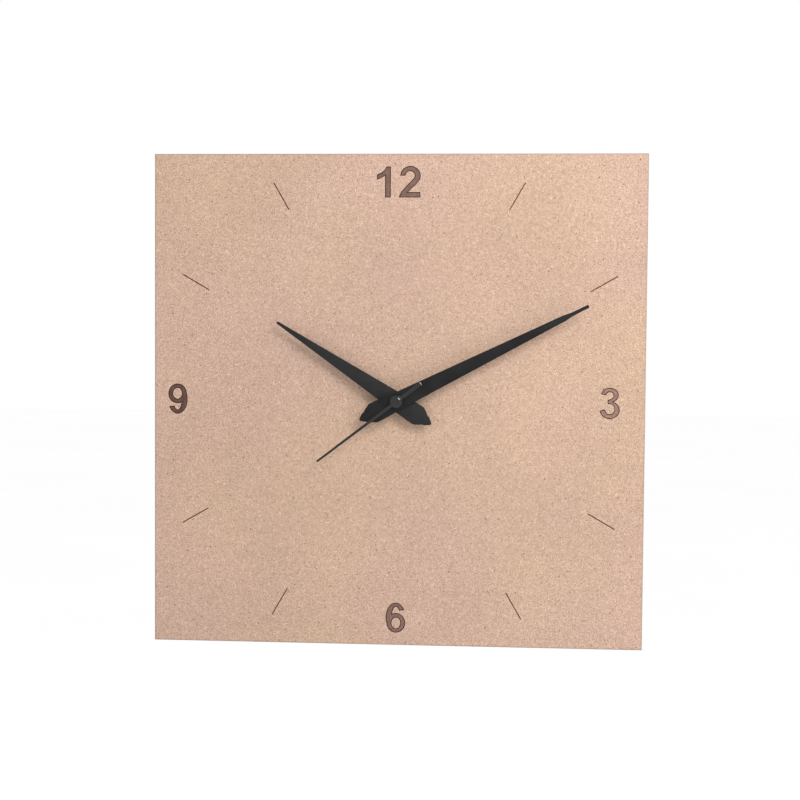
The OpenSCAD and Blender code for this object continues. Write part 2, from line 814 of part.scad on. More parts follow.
module gear_bridge() {
    x0 = bridge_posts[0][0];
    x1 = bridge_posts[3][0];
    y0 = bridge_posts[0][1];
    y1 = bridge_posts[3][1];
    edge = post_r + 0.4;
    color("#d8d5cc")
        translate([0, 0, bridge_z])
            difference() {
                linear_extrude(height = bridge_t) {
                    for (p = bridge_posts)
                        translate(p)
                            circle(r = edge);
                    polygon([[x0 - edge, y0], [x0, y0 - edge], [x1, y0 - edge], [x1 + edge, y0],
                             [x1 + edge, y1], [x1, y1 + edge], [rotor_at[0] + 5, y1 + edge],
                             [rotor_at[0] + 3, rotor_at[1] + 2.2], [rotor_at[0] - 3, rotor_at[1] + 2.2],
                             [rotor_at[0] - 5, y1 + edge], [x0, y1 + edge], [x0 - edge, y1]]);
                }
                for (p = bridge_posts)
                    at(p)
                        disc(peg_r + bore_slack, bridge_t + 2, -1);
                disc(second_arbor_d / 2 + run_fit, bridge_t + 2, -1);
                for (p = [inter_at, rotor_at, minute_at])
                    at(p)
                        disc(pivot_d / 2 + run_fit, bridge_t + 2, -1);
                at(third_at)
                    disc(third_leaves * centre_mod / 2 + centre_mod + 0.3, bridge_t + 2, -1);
                at(setting_at)
                    disc(stem_r + 0.4, bridge_t + 2, -1);
                // lightening windows
                for (c = [[-15, -1.5], [-15.5, 9.5], [8, -3.5]])
                    at(c)
                        disc(2.6, bridge_t + 2, -1);
            }
}

// ---------------------------------------------------------------- going train, from the motor to the centre

// Wheel with a pressed bore, an inner hub and lightening holes.
module pierced_wheel(teeth, mod, bore, hub_r, hole_r, hole_at, turn) {
    difference() {
        gear(teeth, mod, wheel_form, wheel_t, turn);
        disc(bore, wheel_t + 2, -1);
        for (i = [0:4])
            rotate([0, 0, 72 * i])
                translate([hole_at, 0, -1])
                    cylinder(r = hole_r, h = wheel_t + 2);
    }
    difference() {
        disc(hub_r, wheel_t + 0.2, -0.2);
        disc(bore, wheel_t + 2, -1);
    }
}

// Plain shaft of radius r with a thinner pivot below it and, where top > high, above it.
module spindle(r, low, high, top) {
    disc(r, high - low, low);
    disc(pivot_d / 2, low - case_back - 0.1 + eps, case_back + 0.1);
    if (top > high)
        disc(pivot_d / 2, top - high + eps, high - eps);
}

module second_arbor() {
    color("#b9bcc0") {
        spindle(second_arbor_d / 2, boss_top + 0.1, second_arbor_top, 0);
        translate([0, 0, second_pinion_z])
            gear(second_leaves, third_mod, pinion_form, bridge_z - 0.2 - second_pinion_z, second_pinion_turn);
    }
}

module second_wheel() {
    color("#e9e4d2")
        translate([0, 0, second_wheel_z])
            pierced_wheel(second_teeth, second_mod, second_arbor_d / 2 + bore_slack, 1.4, 1.1, 3.6,
                          second_wheel_turn);
}

module third_wheel() {
    color("#e9e4d2")
        at(third_at)
            translate([0, 0, third_wheel_z])
                pierced_wheel(third_teeth, third_mod, third_shaft_r + bore_slack, 1.8, 1.5, 4.8,
                              third_wheel_turn);
}

module third_arbor() {
    pinion_z = third_wheel_z + wheel_t;
    color("#b9bcc0")
        at(third_at) {
            spindle(third_shaft_r, boss_top + 0.1, pinion_z, 0);
            translate([0, 0, pinion_z])
                gear(third_leaves, centre_mod, pinion_form, third_boss_z - 0.3 - pinion_z, third_pinion_turn);
            disc(pivot_d / 2, 1, third_boss_z - 0.3 - eps);
        }
}

module intermediate_wheel() {
    top = second_wheel_z + wheel_t + 0.3;
    color("#f1efe6")
        at(inter_at) {
            spindle(0.7, boss_top + 0.1, inter_wheel_z + eps, 0);
            translate([0, 0, inter_wheel_z])
                gear(inter_teeth, rotor_mod, wheel_form, wheel_t, inter_wheel_turn);
            translate([0, 0, inter_wheel_z + wheel_t - eps])
                gear(inter_leaves, second_mod, pinion_form, top - inter_wheel_z - wheel_t + eps,
                     inter_pinion_turn);
            disc(0.7, bridge_z - 0.2 - top + eps, top - eps);
            disc(pivot_d / 2, bridge_t + 0.2, bridge_z - 0.2 - eps);
        }
}

module rotor_pinion() {
    color("#f1efe6")
        at(rotor_at) {
            spindle(rotor_shaft_r, boss_top + 0.1, bridge_z - 0.2, bridge_z + bridge_t);
            translate([0, 0, inter_wheel_z - 0.2])
                gear(rotor_leaves, rotor_mod, pinion_form, wheel_t + 0.4, rotor_pinion_turn);
        }
}

module rotor_magnet() {
    color("#55585e")
        at(rotor_at)
            difference() {
                disc(magnet_r, magnet_len, magnet_z);
                disc(rotor_shaft_r + bore_slack, magnet_len + 2, magnet_z - 1);
            }
}

module centre_wheel() {
    color("#e9e4d2")
        translate([0, 0, centre_wheel_z])
            difference() {
                gear(centre_teeth, centre_mod, wheel_form, wheel_t, centre_wheel_turn);
                disc(minute_pipe_d / 2 + run_fit, wheel_t + 2, -1);
                for (i = [0:4])
                    rotate([0, 0, 72 * i])
                        translate([5.2, 0, -1])
                            cylinder(r = 1.4, h = wheel_t + 2);
            }
}

// ---------------------------------------------------------------- motion work, minute pipe to hour pipe

module minute_arbor() {
    color("#b9bcc0")
        difference() {
            union() {
                disc(2.4, arbor_flange_t, arbor_flange_z);
                disc(minute_pipe_d / 2, minute_pipe_top - arbor_flange_z, arbor_flange_z);
                translate([0, 0, cannon_z])
                    gear(cannon_leaves, motion_mod, pinion_form, cannon_len, cannon_turn);
            }
            disc(second_arbor_d / 2 + run_fit, minute_pipe_top, arbor_flange_z - 1);
        }
}

// Three-fingered friction spring between the centre wheel and the pinion on the minute pipe.
module clutch_spring() {
    color("#c9a24a")
        translate([0, 0, spring_z])
            linear_extrude(height = spring_t)
                difference() {
                    union() {
                        circle(r = 2.5);
                        for (i = [0:2])
                            rotate(120 * i)
                                translate([0, -0.6])
                                    square([3.8, 1.2]);
                    }
                    circle(r = minute_pipe_d / 2 + bore_slack);
                }
}

module minute_wheel() {
    color("#f1efe6")
        at(minute_at) {
            disc(pivot_d / 2, bridge_t + 0.2, bridge_z);
            disc(0.6, minute_wheel_z - bridge_z - bridge_t - 0.15, bridge_z + bridge_t + 0.15);
            translate([0, 0, minute_wheel_z - eps])
                gear(minute_teeth, motion_mod, wheel_form, wheel_t + eps, minute_wheel_turn);
            translate([0, 0, minute_pinion_z - eps])
                gear(minute_leaves, motion_mod, pinion_form, minute_pinion_len + eps, minute_pinion_turn);
            disc(pivot_d / 2, 1.1, minute_pinion_z + minute_pinion_len - eps);
        }
}

module hour_wheel() {
    color("#f1efe6")
        difference() {
            union() {
                translate([0, 0, hour_wheel_z])
                    gear(hour_teeth, motion_mod, wheel_form, wheel_t, hour_wheel_turn);
                disc(3.3, cover_z - bush_flange_t - 0.3 - hour_wheel_z, hour_wheel_z);
                disc(hour_pipe_d / 2, hour_pipe_top - hour_wheel_z, hour_wheel_z);
            }
            disc(minute_pipe_d / 2 + run_fit, hour_pipe_top, hour_wheel_z - 1);
        }
}

// Notched thumb wheel in the back of the case, with its stem through the movement.
module setting_knob() {
    color("#e6e4dc")
        at(setting_at) {
            difference() {
                disc(knob_d / 2, knob_t, knob_z);
                for (i = [0:knob_notches - 1])
                    rotate([0, 0, 360 / knob_notches * i])
                        translate([knob_d / 2 + 0.1, 0, knob_z - 1])
                            cylinder(r = 0.45, h = knob_t + 2, $fn = 24);
                translate([0, 0, knob_z - 1])
                    difference() {
                        disc(knob_d / 2 - 1.5, 1.6);
                        translate([-0.6, -knob_d / 2, -1])
                            cube([1.2, knob_d, 4]);
                    }
            }
            disc(stem_r, cannon_z - knob_z - knob_t + eps, knob_z + knob_t - eps);
            disc(stem_r - 0.25, cannon_len, cannon_z);
            disc(pivot_d / 2, 1, cannon_z + cannon_len - eps);
        }
}

module setting_pinion() {
    color("#f1efe6")
        at(setting_at)
            translate([0, 0, cannon_z])
                difference() {
                    gear(setting_leaves, motion_mod, pinion_form, cannon_len - 0.1, setting_pinion_turn);
                    disc(stem_r - 0.25 + bore_slack, cannon_len + 2, -1);
                }
}

// ---------------------------------------------------------------- motor

// Flat iron stator: a yoke round the rotor, thinned above and below it, and two arms up to the coil.
module stator() {
    x0 = screws_at[0][0] - arm_w / 2;
    x1 = screws_at[1][0] + arm_w / 2;
    color("#8d9196")
        translate([0, 0, stator_z])
            linear_extrude(height = stator_t)
                difference() {
                    union() {
                        translate([x0, rotor_at[1] - yoke_h])
                            square([x1 - x0, 2 * yoke_h]);
                        for (p = screws_at)
                            translate([p[0] - arm_w / 2, rotor_at[1]])
                                square([arm_w, coil_at[1] + core_w / 2 - rotor_at[1]]);
                    }
                    translate(rotor_at)
                        circle(r = stator_hole_r);
                    for (side = [-1, 1])
                        translate([rotor_at[0], rotor_at[1] + side * (yoke_h + 0.35)])
                            circle(r = 0.9);
                    for (p = screws_at)
                        translate(p)
                            circle(r = screw_r + bore_slack);
                }
}

module coil_core() {
    x0 = screws_at[0][0] - arm_w / 2;
    x1 = screws_at[1][0] + arm_w / 2;
    color("#8d9196")
        difference() {
            translate([x0, coil_at[1] - core_w / 2, core_z])
                cube([x1 - x0, core_w, core_t]);
            for (p = screws_at)
                at(p)
                    disc(screw_r + bore_slack, core_t + 2, core_z - 1);
        }
}

// Turns a shape made along z, centred, so that it lies along the coil.
module along_coil() translate([coil_at[0], coil_at[1], coil_z]) rotate([0, 90, 0]) children();

module coil_bobbin() {
    color("#20242a")
        along_coil()
            difference() {
                union() {
                    translate([0, 0, -coil_len / 2])
                        cylinder(r = bobbin_tube_r, h = coil_len);
                    for (side = [-1, 1])
                        translate([0, 0, side * (coil_len - coil_flange_t) / 2 - coil_flange_t / 2])
                            cylinder(r = coil_flange_r, h = coil_flange_t);
                }
                cube([core_t + 0.1, core_w + 0.1, coil_len + 2], center = true);
            }
}

module coil_winding() {
    span = coil_len - 2 * coil_flange_t - 0.1;
    color("#b4642a")
        along_coil()
            difference() {
                cylinder(r = coil_r, h = span, center = true);
                cylinder(r = bobbin_tube_r + 0.02, h = span + 2, center = true);
            }
}

module coil_screws() {
    head_z = core_z + core_t;
    color("#c6c8cb")
        for (p = screws_at)
            at(p)
                difference() {
                    union() {
                        disc(screw_r, head_z - screw_end_z + eps, screw_end_z);
                        disc(screw_r + 0.65, 0.8, head_z);
                    }
                    translate([-2, -0.15, head_z + 0.45])
                        cube([4, 0.3, 1]);
                }
}

// ---------------------------------------------------------------- circuit, contacts and cell

module circuit_board() {
    color("#2f6b3a")
        translate([pcb_low[0], pcb_low[1], board_pcb_z])
            cube([pcb_size[0], pcb_size[1], pcb_t]);
}

// Domed resin cap over the chip.
module chip_cap() {
    dome_r = 4;
    rise = 1.1;
    foot_r = sqrt(2 * dome_r * rise - rise * rise);
    color("#141414")
        translate([pcb_low[0] + 9.5, pcb_low[1] + 3.8, board_pcb_z + pcb_t])
            rotate_extrude()
                polygon(concat([[0, 0]],
                    [for (i = [0:12])
                        let (a = asin(foot_r / dome_r) * (1 - i / 12))
                            [dome_r * sin(a), dome_r * cos(a) - dome_r + rise]]));
}

// Tuning-fork crystal in its small can, with two wire legs.
module quartz_crystal() {
    crystal_r = 1;
    z = board_pcb_z + pcb_t + crystal_r;
    start = [pcb_low[0] + 6.2, pcb_low[1] + pcb_size[1] - 2.2, z];
    color("#c3c6ca")
        translate(start)
            rotate([0, 90, 0]) {
                cylinder(r = crystal_r, h = 6.2);
                for (side = [-1, 1])
                    translate([0, 0.4 * side, -1.6])
                        cylinder(r = 0.13, h = 1.6 + eps, $fn = 24);
            }
}

// Steel can of the cell, with rounded rims.
module battery_cell() {
    body_len = cell_len - nub_len;
    r = cell_d / 2;
    color("#c58a3c")
        translate([cell_right - nub_len - body_len, bay_y, cell_z])
            rotate([0, 90, 0])
                rotate_extrude()
                    polygon([[0, 0], [r - 0.6, 0], [r, 0.6], [r, body_len - 0.6], [r - 0.6, body_len],
                             [0, body_len]]);
}

// Raised positive terminal.
module battery_nub() {
    color("#d6d7d9")
        translate([cell_right - nub_len, bay_y, cell_z])
            rotate([0, 90, 0])
                rotate_extrude()
                    polygon([[0, 0], [nub_d / 2, 0], [nub_d / 2, nub_len - 0.25],
                             [nub_d / 2 - 0.25, nub_len], [0, nub_len]]);
}

// Flat strip on the case's end wall, from the cell up into the movement's cavity.
module end_strip(side) {
    outer = side * cavity_half;
    translate([min(outer, outer - side * strip_t), bay_y - 3, strip_z])
        cube([strip_t, rail_y + rail_w - bay_y + 3, strip_w]);
}

module negative_contact() {
    foot_z = board_pcb_z + pcb_t;
    apex = cell_right - cell_len;
    color("#cfd1d3") {
        end_strip(-1);
        // leaf that bears on the cell's flat end
        translate([0, 0, strip_z])
            linear_extrude(height = strip_w)
                polygon([[-cavity_half + strip_t - eps, bay_y + 5], [apex, bay_y + 0.4], [apex, bay_y - 0.4],
                         [-cavity_half + strip_t + 0.6, bay_y - 4], [-cavity_half + strip_t + 0.3, bay_y - 4],
                         [apex - strip_t, bay_y], [-cavity_half + strip_t - eps, bay_y + 4.4]]);
        // arm up the wall, and a foot on the circuit board
        translate([-cavity_half, rail_y, foot_z])
            cube([strip_t, pcb_low[1] + 3 - rail_y, rail_w]);
        translate([-cavity_half, rail_y, foot_z])
            cube([strip_t, rail_w, strip_z - foot_z + eps]);
        translate([-cavity_half, pcb_low[1] + 1, foot_z])
            cube([3, 2, strip_t]);
    }
}

module positive_contact() {
    color("#cfd1d3") {
        end_strip(1);
        translate([cavity_half - strip_t, rail_y, rail_z])
            cube([strip_t, rail_w, strip_z - rail_z + eps]);
        // rail along the cavity floor, then up to the underside of the circuit board
        translate([-rail_x - rail_w, rail_y, rail_z])
            cube([rail_x + rail_w + cavity_half, rail_w, strip_t]);
        translate([-rail_x - rail_w, rail_y, rail_z])
            cube([rail_w, pcb_low[1] + 2.5 - rail_y, strip_t]);
        translate([-rail_x - rail_w, pcb_low[1] + 0.5, rail_z])
            cube([rail_w, 2, board_pcb_z - rail_z]);
    }
}

// ---------------------------------------------------------------- pieces

stand_up() dial_board();
stand_up() rubber_pad();
stand_up() face_washer();
stand_up() hex_nut();
stand_up() hour_hand();
stand_up() hour_hand_collar();
stand_up() minute_hand();
stand_up() minute_hand_collar();
stand_up() second_hand();
stand_up() second_hand_hub();
stand_up() movement_case();
stand_up() hanger();
stand_up() front_cover();
stand_up() threaded_bush();
stand_up() gear_bridge();
stand_up() hour_wheel();
stand_up() minute_arbor();
stand_up() clutch_spring();
stand_up() centre_wheel();
stand_up() minute_wheel();
stand_up() setting_knob();
stand_up() setting_pinion();
stand_up() second_arbor();
stand_up() second_wheel();
stand_up() third_wheel();
stand_up() third_arbor();
stand_up() intermediate_wheel();
stand_up() rotor_magnet();
stand_up() rotor_pinion();
stand_up() stator();
stand_up() coil_core();
stand_up() coil_bobbin();
stand_up() coil_winding();
stand_up() coil_screws();
stand_up() circuit_board();
stand_up() chip_cap();
stand_up() quartz_crystal();
stand_up() battery_cell();
stand_up() battery_nub();
stand_up() negative_contact();
stand_up() positive_contact();
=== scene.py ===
"""Looks of a square fibreboard wall clock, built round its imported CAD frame.

The frame's Y axis is the clock's shaft: y is 0 at the wall and falls towards the viewer, x is right, z is up.
Each operator makes one piece or one group of like pieces, and main() runs them all.
"""

from math import atan2, cos, pi, radians, sin, tau

import bmesh
import bpy
import numpy as np
from bpy.props import FloatProperty, FloatVectorProperty, PointerProperty
from mathutils import Matrix, Vector


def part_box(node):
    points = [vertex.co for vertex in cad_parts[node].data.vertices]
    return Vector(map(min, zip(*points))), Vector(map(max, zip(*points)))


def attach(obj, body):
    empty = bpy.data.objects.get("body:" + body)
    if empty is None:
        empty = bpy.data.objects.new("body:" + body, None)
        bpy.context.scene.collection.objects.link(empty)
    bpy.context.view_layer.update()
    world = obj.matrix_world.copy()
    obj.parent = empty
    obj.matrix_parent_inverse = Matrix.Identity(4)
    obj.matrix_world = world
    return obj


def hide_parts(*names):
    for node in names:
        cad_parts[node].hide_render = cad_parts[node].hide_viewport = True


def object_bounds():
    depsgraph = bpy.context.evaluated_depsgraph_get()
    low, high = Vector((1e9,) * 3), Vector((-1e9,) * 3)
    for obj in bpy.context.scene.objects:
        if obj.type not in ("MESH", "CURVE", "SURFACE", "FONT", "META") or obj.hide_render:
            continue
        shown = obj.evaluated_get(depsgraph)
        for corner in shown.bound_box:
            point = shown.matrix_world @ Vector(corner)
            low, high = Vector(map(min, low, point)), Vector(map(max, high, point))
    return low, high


bl_info = {
    "name": "Fibreboard Wall Clock",
    "version": (1, 0, 0),
    "blender": (4, 5, 0),
    "location": "View3D > Sidebar > Wall Clock",
    "description": "Finishes a square wall clock: burnt fibreboard dial, black hands and quartz movement",
    "category": "Object",
}

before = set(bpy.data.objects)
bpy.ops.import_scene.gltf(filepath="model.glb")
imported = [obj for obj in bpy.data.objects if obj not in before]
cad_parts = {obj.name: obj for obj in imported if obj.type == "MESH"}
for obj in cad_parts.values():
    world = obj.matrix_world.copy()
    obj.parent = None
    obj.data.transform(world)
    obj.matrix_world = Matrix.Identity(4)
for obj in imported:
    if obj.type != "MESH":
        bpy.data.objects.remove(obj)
cad_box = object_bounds()

MM = 0.001
FIT = 0.025 * MM  # play between a hand's bore and its pipe
CHAMFER_RISE = 0.554  # depth over width of the needle's chamfer, which is 29 degrees


# ---- places read from the frame

def extent(node):
    """Lowest and highest corner of a CAD node as two arrays, in metres."""
    low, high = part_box(node)
    return np.array(low), np.array(high)


def span(node):
    """A node's depth along the shaft: (back, front), with the front nearer the viewer."""
    low, high = extent(node)
    return high[1], low[1]


def reach(node):
    """A node's largest distance from the shaft, which is the radius of a turned piece."""
    low, high = extent(node)
    return (high[0] - low[0]) / 2


def bar(node):
    """A node that is turned about a line along x: its two ends in x, its radius and its middle."""
    low, high = extent(node)
    return low[0], high[0], (high[2] - low[2]) / 2, (low + high) / 2


def turn_of(hand):
    """A hand's angle, clockwise from 12, from its vertex farthest from the shaft."""
    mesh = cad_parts[hand].data
    flat = np.empty(len(mesh.vertices) * 3, np.float32)
    mesh.vertices.foreach_get("co", flat)
    spots = flat.reshape(-1, 3).astype(float)
    far = spots[np.argmax(np.hypot(spots[:, 0], spots[:, 2]))]
    return atan2(far[0], far[2])


# ---- property groups

def like(kind, **fixed):
    """A maker of like properties, which takes each one's name, description and default."""
    return lambda name, description, value: kind(name=name, description=description, default=value, **fixed)


colour = like(FloatVectorProperty, size=3, min=0, max=1, subtype="COLOR")  # in linear light
length = like(FloatProperty, min=0, precision=5, subtype="DISTANCE", unit="LENGTH")  # in metres
watts = like(FloatProperty, min=0, subtype="POWER", unit="POWER")
angle = like(FloatProperty, subtype="ANGLE", unit="ROTATION")


class BoardLooks(bpy.types.PropertyGroup):
    raw: colour("Raw board", "Face of the bare fibreboard", (0.401, 0.276, 0.208))
    fill: colour("Burnt fill", "Engraved ground of the numerals where it is burnt most", (0.086, 0.045, 0.033))
    fill_pale: colour("Pale fill", "Engraved ground where it is burnt least", (0.215, 0.127, 0.099))
    score: colour("Scored line", "Line round the numerals", (0.022, 0.008, 0.005))
    tick: colour("Hour tick", "Scored line of the hour ticks", (0.200, 0.080, 0.035))
    edge: colour("Burnt edge", "Sides of the board where the beam cut it", (0.085, 0.042, 0.024))
    fibre: length("Fibre length", "Half the length of the loose fibres in the face", 1.1 * MM)


class HandLooks(bpy.types.PropertyGroup):
    paint: colour("Paint", "Satin black paint of all hands", (0.0088, 0.0083, 0.0082))
    edge_round: length("Edge rounding", "Rounding that the paint gives the stamped edges", 0.1 * MM)
    corner_round: length("Corner rounding", "Rounding of the corners in the outline", 0.4 * MM)


class MetalLooks(bpy.types.PropertyGroup):
    brass: colour("Brass", "Nut, washer, bush and clutch spring", (0.58, 0.40, 0.14))
    alloy: colour("Alloy", "Turned collars under the hands", (0.60, 0.60, 0.58))
    steel: colour("Steel", "Arbors and screws", (0.46, 0.47, 0.49))
    nickel: colour("Nickel", "Contacts, nub and crystal can", (0.62, 0.60, 0.56))
    iron: colour("Iron", "Stator and coil core", (0.30, 0.31, 0.32))
    magnet: colour("Magnet", "Bonded ring magnet of the rotor", (0.05, 0.052, 0.056))
    copper: colour("Copper", "Enamelled wire of the coil", (0.58, 0.20, 0.07))
    wire: length("Wire", "Diameter of the coil's wire", 0.22 * MM)
    groove: length("Turning groove", "Pitch of the turning marks", 0.24 * MM)


class MovementLooks(bpy.types.PropertyGroup):
    shell: colour("Shell", "Moulded case, cover and hanger", (0.0125, 0.0125, 0.0135))
    bridge: colour("Bridge", "Gear bridge", (0.62, 0.60, 0.52))
    wheel: colour("Wheels", "Moulded gear wheels", (0.74, 0.71, 0.61))
    knob: colour("Knob", "Setting knob", (0.70, 0.68, 0.60))
    rubber: colour("Rubber", "Pad between movement and board", (0.018, 0.018, 0.018))
    mask: colour("Solder mask", "Face of the circuit board", (0.020, 0.120, 0.040))
    moulding_round: length("Moulding rounding", "Rounding of the moulded edges", 0.16 * MM)


class CellLooks(bpy.types.PropertyGroup):
    sleeve: colour("Sleeve", "Film sleeve of the battery cell", (0.035, 0.145, 0.080))
    band: colour("Band", "Band of the sleeve at the positive end", (0.62, 0.55, 0.36))
    band_w: length("Band width", "Width of the band", 11 * MM)


class StageLooks(bpy.types.PropertyGroup):
    floor: colour("Floor", "Pale studio floor", (0.990, 0.990, 0.990))
    floor_drop: length("Floor drop", "From the clock's lowest edge to the floor", 0.6)
    sky: FloatProperty(name="Sky", description="Strength of the even white light", default=1.0, min=0)
    key_power: watts("Key light", "Lamp at the upper right", 6.3)
    strip_power: watts("Strip light", "Tall narrow lamp at the lower right", 2.0)
    key_size: length("Key size", "Width of the key lamp", 0.36)
    azimuth: angle("Azimuth", "Camera's place to the right of the shaft", radians(4.05))
    elevation: angle("Elevation", "Camera's place above the shaft", radians(2.55))
    roll: angle("Roll", "Camera's turn about its own view", radians(0.43))
    distance: length("Distance", "From the dial to the camera", 0.9)
    lens: FloatProperty(name="Lens", description="Focal length", default=66.4, min=1, subtype="DISTANCE_CAMERA",
                        unit="CAMERA")


# ---- surfaces on a grid

def new_object(name, data):
    """An object that holds the data, in the scene."""
    made = bpy.data.objects.new(name, data)
    bpy.context.scene.collection.objects.link(made)
    return made


def unit_circle(steps):
    """Angles of a full turn, without the last one, which repeats the first."""
    return np.arange(steps) * tau / steps


def round_grid(radii, depths, along="y"):
    """Points round an axis: grid[i, j] is depths[i] along it, and radii[i, j] times the unit circle across it."""
    turn = unit_circle(radii.shape[1])
    across, up = radii * np.cos(turn), radii * np.sin(turn)
    deep = np.broadcast_to(depths[:, None], radii.shape)
    return np.stack([across, deep, up] if along == "y" else [deep, across, up], -1)


def piece_from_mesh(name, mesh, merge, crease, clean):
    """Makes a piece of a mesh. Points closer than merge are joined, clean puts the faces right, and edges sharper
    than crease degrees stay sharp in the shading."""
    whole = bmesh.new()
    whole.from_mesh(mesh)
    bmesh.ops.remove_doubles(whole, verts=whole.verts, dist=merge)
    clean(whole)
    whole.to_mesh(mesh)
    whole.free()
    if mesh.has_custom_normals:
        mesh.attributes.remove(mesh.attributes["custom_normal"])
    mesh.shade_smooth()
    mesh.set_sharp_from_angle(angle=radians(crease))
    return new_object(name, mesh)


def eased(corners, ease, steps=4, closed=True):
    """Rounds each corner of an outline: a parabola leaves each side at the distance ease from the corner, or at 0.45
    of the side where that is shorter, with the corner itself as its control point."""
    corners = np.asarray(corners, float)
    before, after = np.roll(corners, 1, 0), np.roll(corners, -1, 0)
    ease = np.broadcast_to(np.asarray(ease, float), len(corners))[:, None]

    def leave(towards):
        way = towards - corners
        size = np.linalg.norm(way, axis=1, keepdims=True)
        return corners + way / np.maximum(size, 1e-12) * np.minimum(ease, 0.45 * size)

    t = np.linspace(0, 1, steps)[None, :, None]
    first, final = leave(before)[:, None], leave(after)[:, None]
    curve = (1 - t) ** 2 * first + 2 * t * (1 - t) * corners[:, None] + t**2 * final
    if not closed:
        curve[0], curve[-1] = corners[0], corners[-1]
    return curve.reshape(-1, corners.shape[1])


def turned_grid(profile, steps=96, centre=(0, 0, 0), along="y"):
    """Carries a profile of (radius, distance) round the axis that runs through centre."""
    radius, distance = np.asarray(profile, float).T
    return round_grid(np.repeat(radius[:, None], steps, 1), distance, along) + np.asarray(centre, float)


def thread_wave(steps, depth, pitch):
    """A screw thread's height from 0 at the root to 1 at the crest: a triangle wave of depth over pitch that moves
    on by one pitch in each full turn."""
    phase = depth[:, None] / pitch - unit_circle(steps) / tau
    return np.abs(2 * (phase % 1) - 1)


# ---- putting pieces in place

def settle(piece, body, slot, material, *nodes):
    """Gives a new piece its material and body, and hides the CAD nodes that it stands for. The slot is not used."""
    piece.data.materials.clear()
    piece.data.materials.append(material)
    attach(piece, body)
    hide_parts(*nodes)


def build(name, grid, body, slot, material, node, closed_rows=True, crease=32):
    """Makes a closed piece from grid[i, j], a point for each row i and each step j of a full turn.

    The turn always closes. With closed_rows the last row also joins the first, as on a ring, and otherwise the end
    rows lie on one point each, which is merged. Quads join neighbours, and the faces are turned outwards."""
    rows, steps = grid.shape[:2]
    last = rows if closed_rows else rows - 1
    i, j = np.meshgrid(np.arange(last), np.arange(steps), indexing="ij")
    up, on = (i + 1) % rows, (j + 1) % steps
    quads = np.stack([i * steps + j, i * steps + on, up * steps + on, up * steps + j], -1).reshape(-1, 4)
    mesh = bpy.data.meshes.new(name)
    mesh.from_pydata(grid.reshape(-1, 3).tolist(), [], quads.tolist())
    piece = piece_from_mesh(name, mesh, 1e-7, crease,
                            lambda whole: bmesh.ops.recalc_face_normals(whole, faces=whole.faces))
    settle(piece, body, slot, material, node)


def finish_node(node, material):
    """Gives a CAD node, whose shape is right, its material."""
    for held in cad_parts[node].material_slots:
        held.link = "OBJECT"
        held.material = material


def eased_copy(node, suffix, rounding, body, slot, material):
    """Puts a copy of a CAD node in its place, named with the suffix. Its triangles are joined up, its flat faces
    are merged, and its edges sharper than crease degrees get a rounded bevel."""
    crease = 35
    name = f"{node}_{suffix}"
    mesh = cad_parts[node].data.copy()
    mesh.name = name
    piece = piece_from_mesh(name, mesh, 0.012 * MM, crease, lambda whole: bmesh.ops.dissolve_limit(
        whole, angle_limit=radians(0.5), verts=whole.verts, edges=whole.edges))
    bevel = piece.modifiers.new("Rounded edges", "BEVEL")
    bevel.width = rounding
    bevel.segments = 2
    bevel.limit_method = "ANGLE"
    bevel.angle_limit = radians(crease)
    bevel.harden_normals = True
    settle(piece, body, slot, material, node)


# ---- finishes

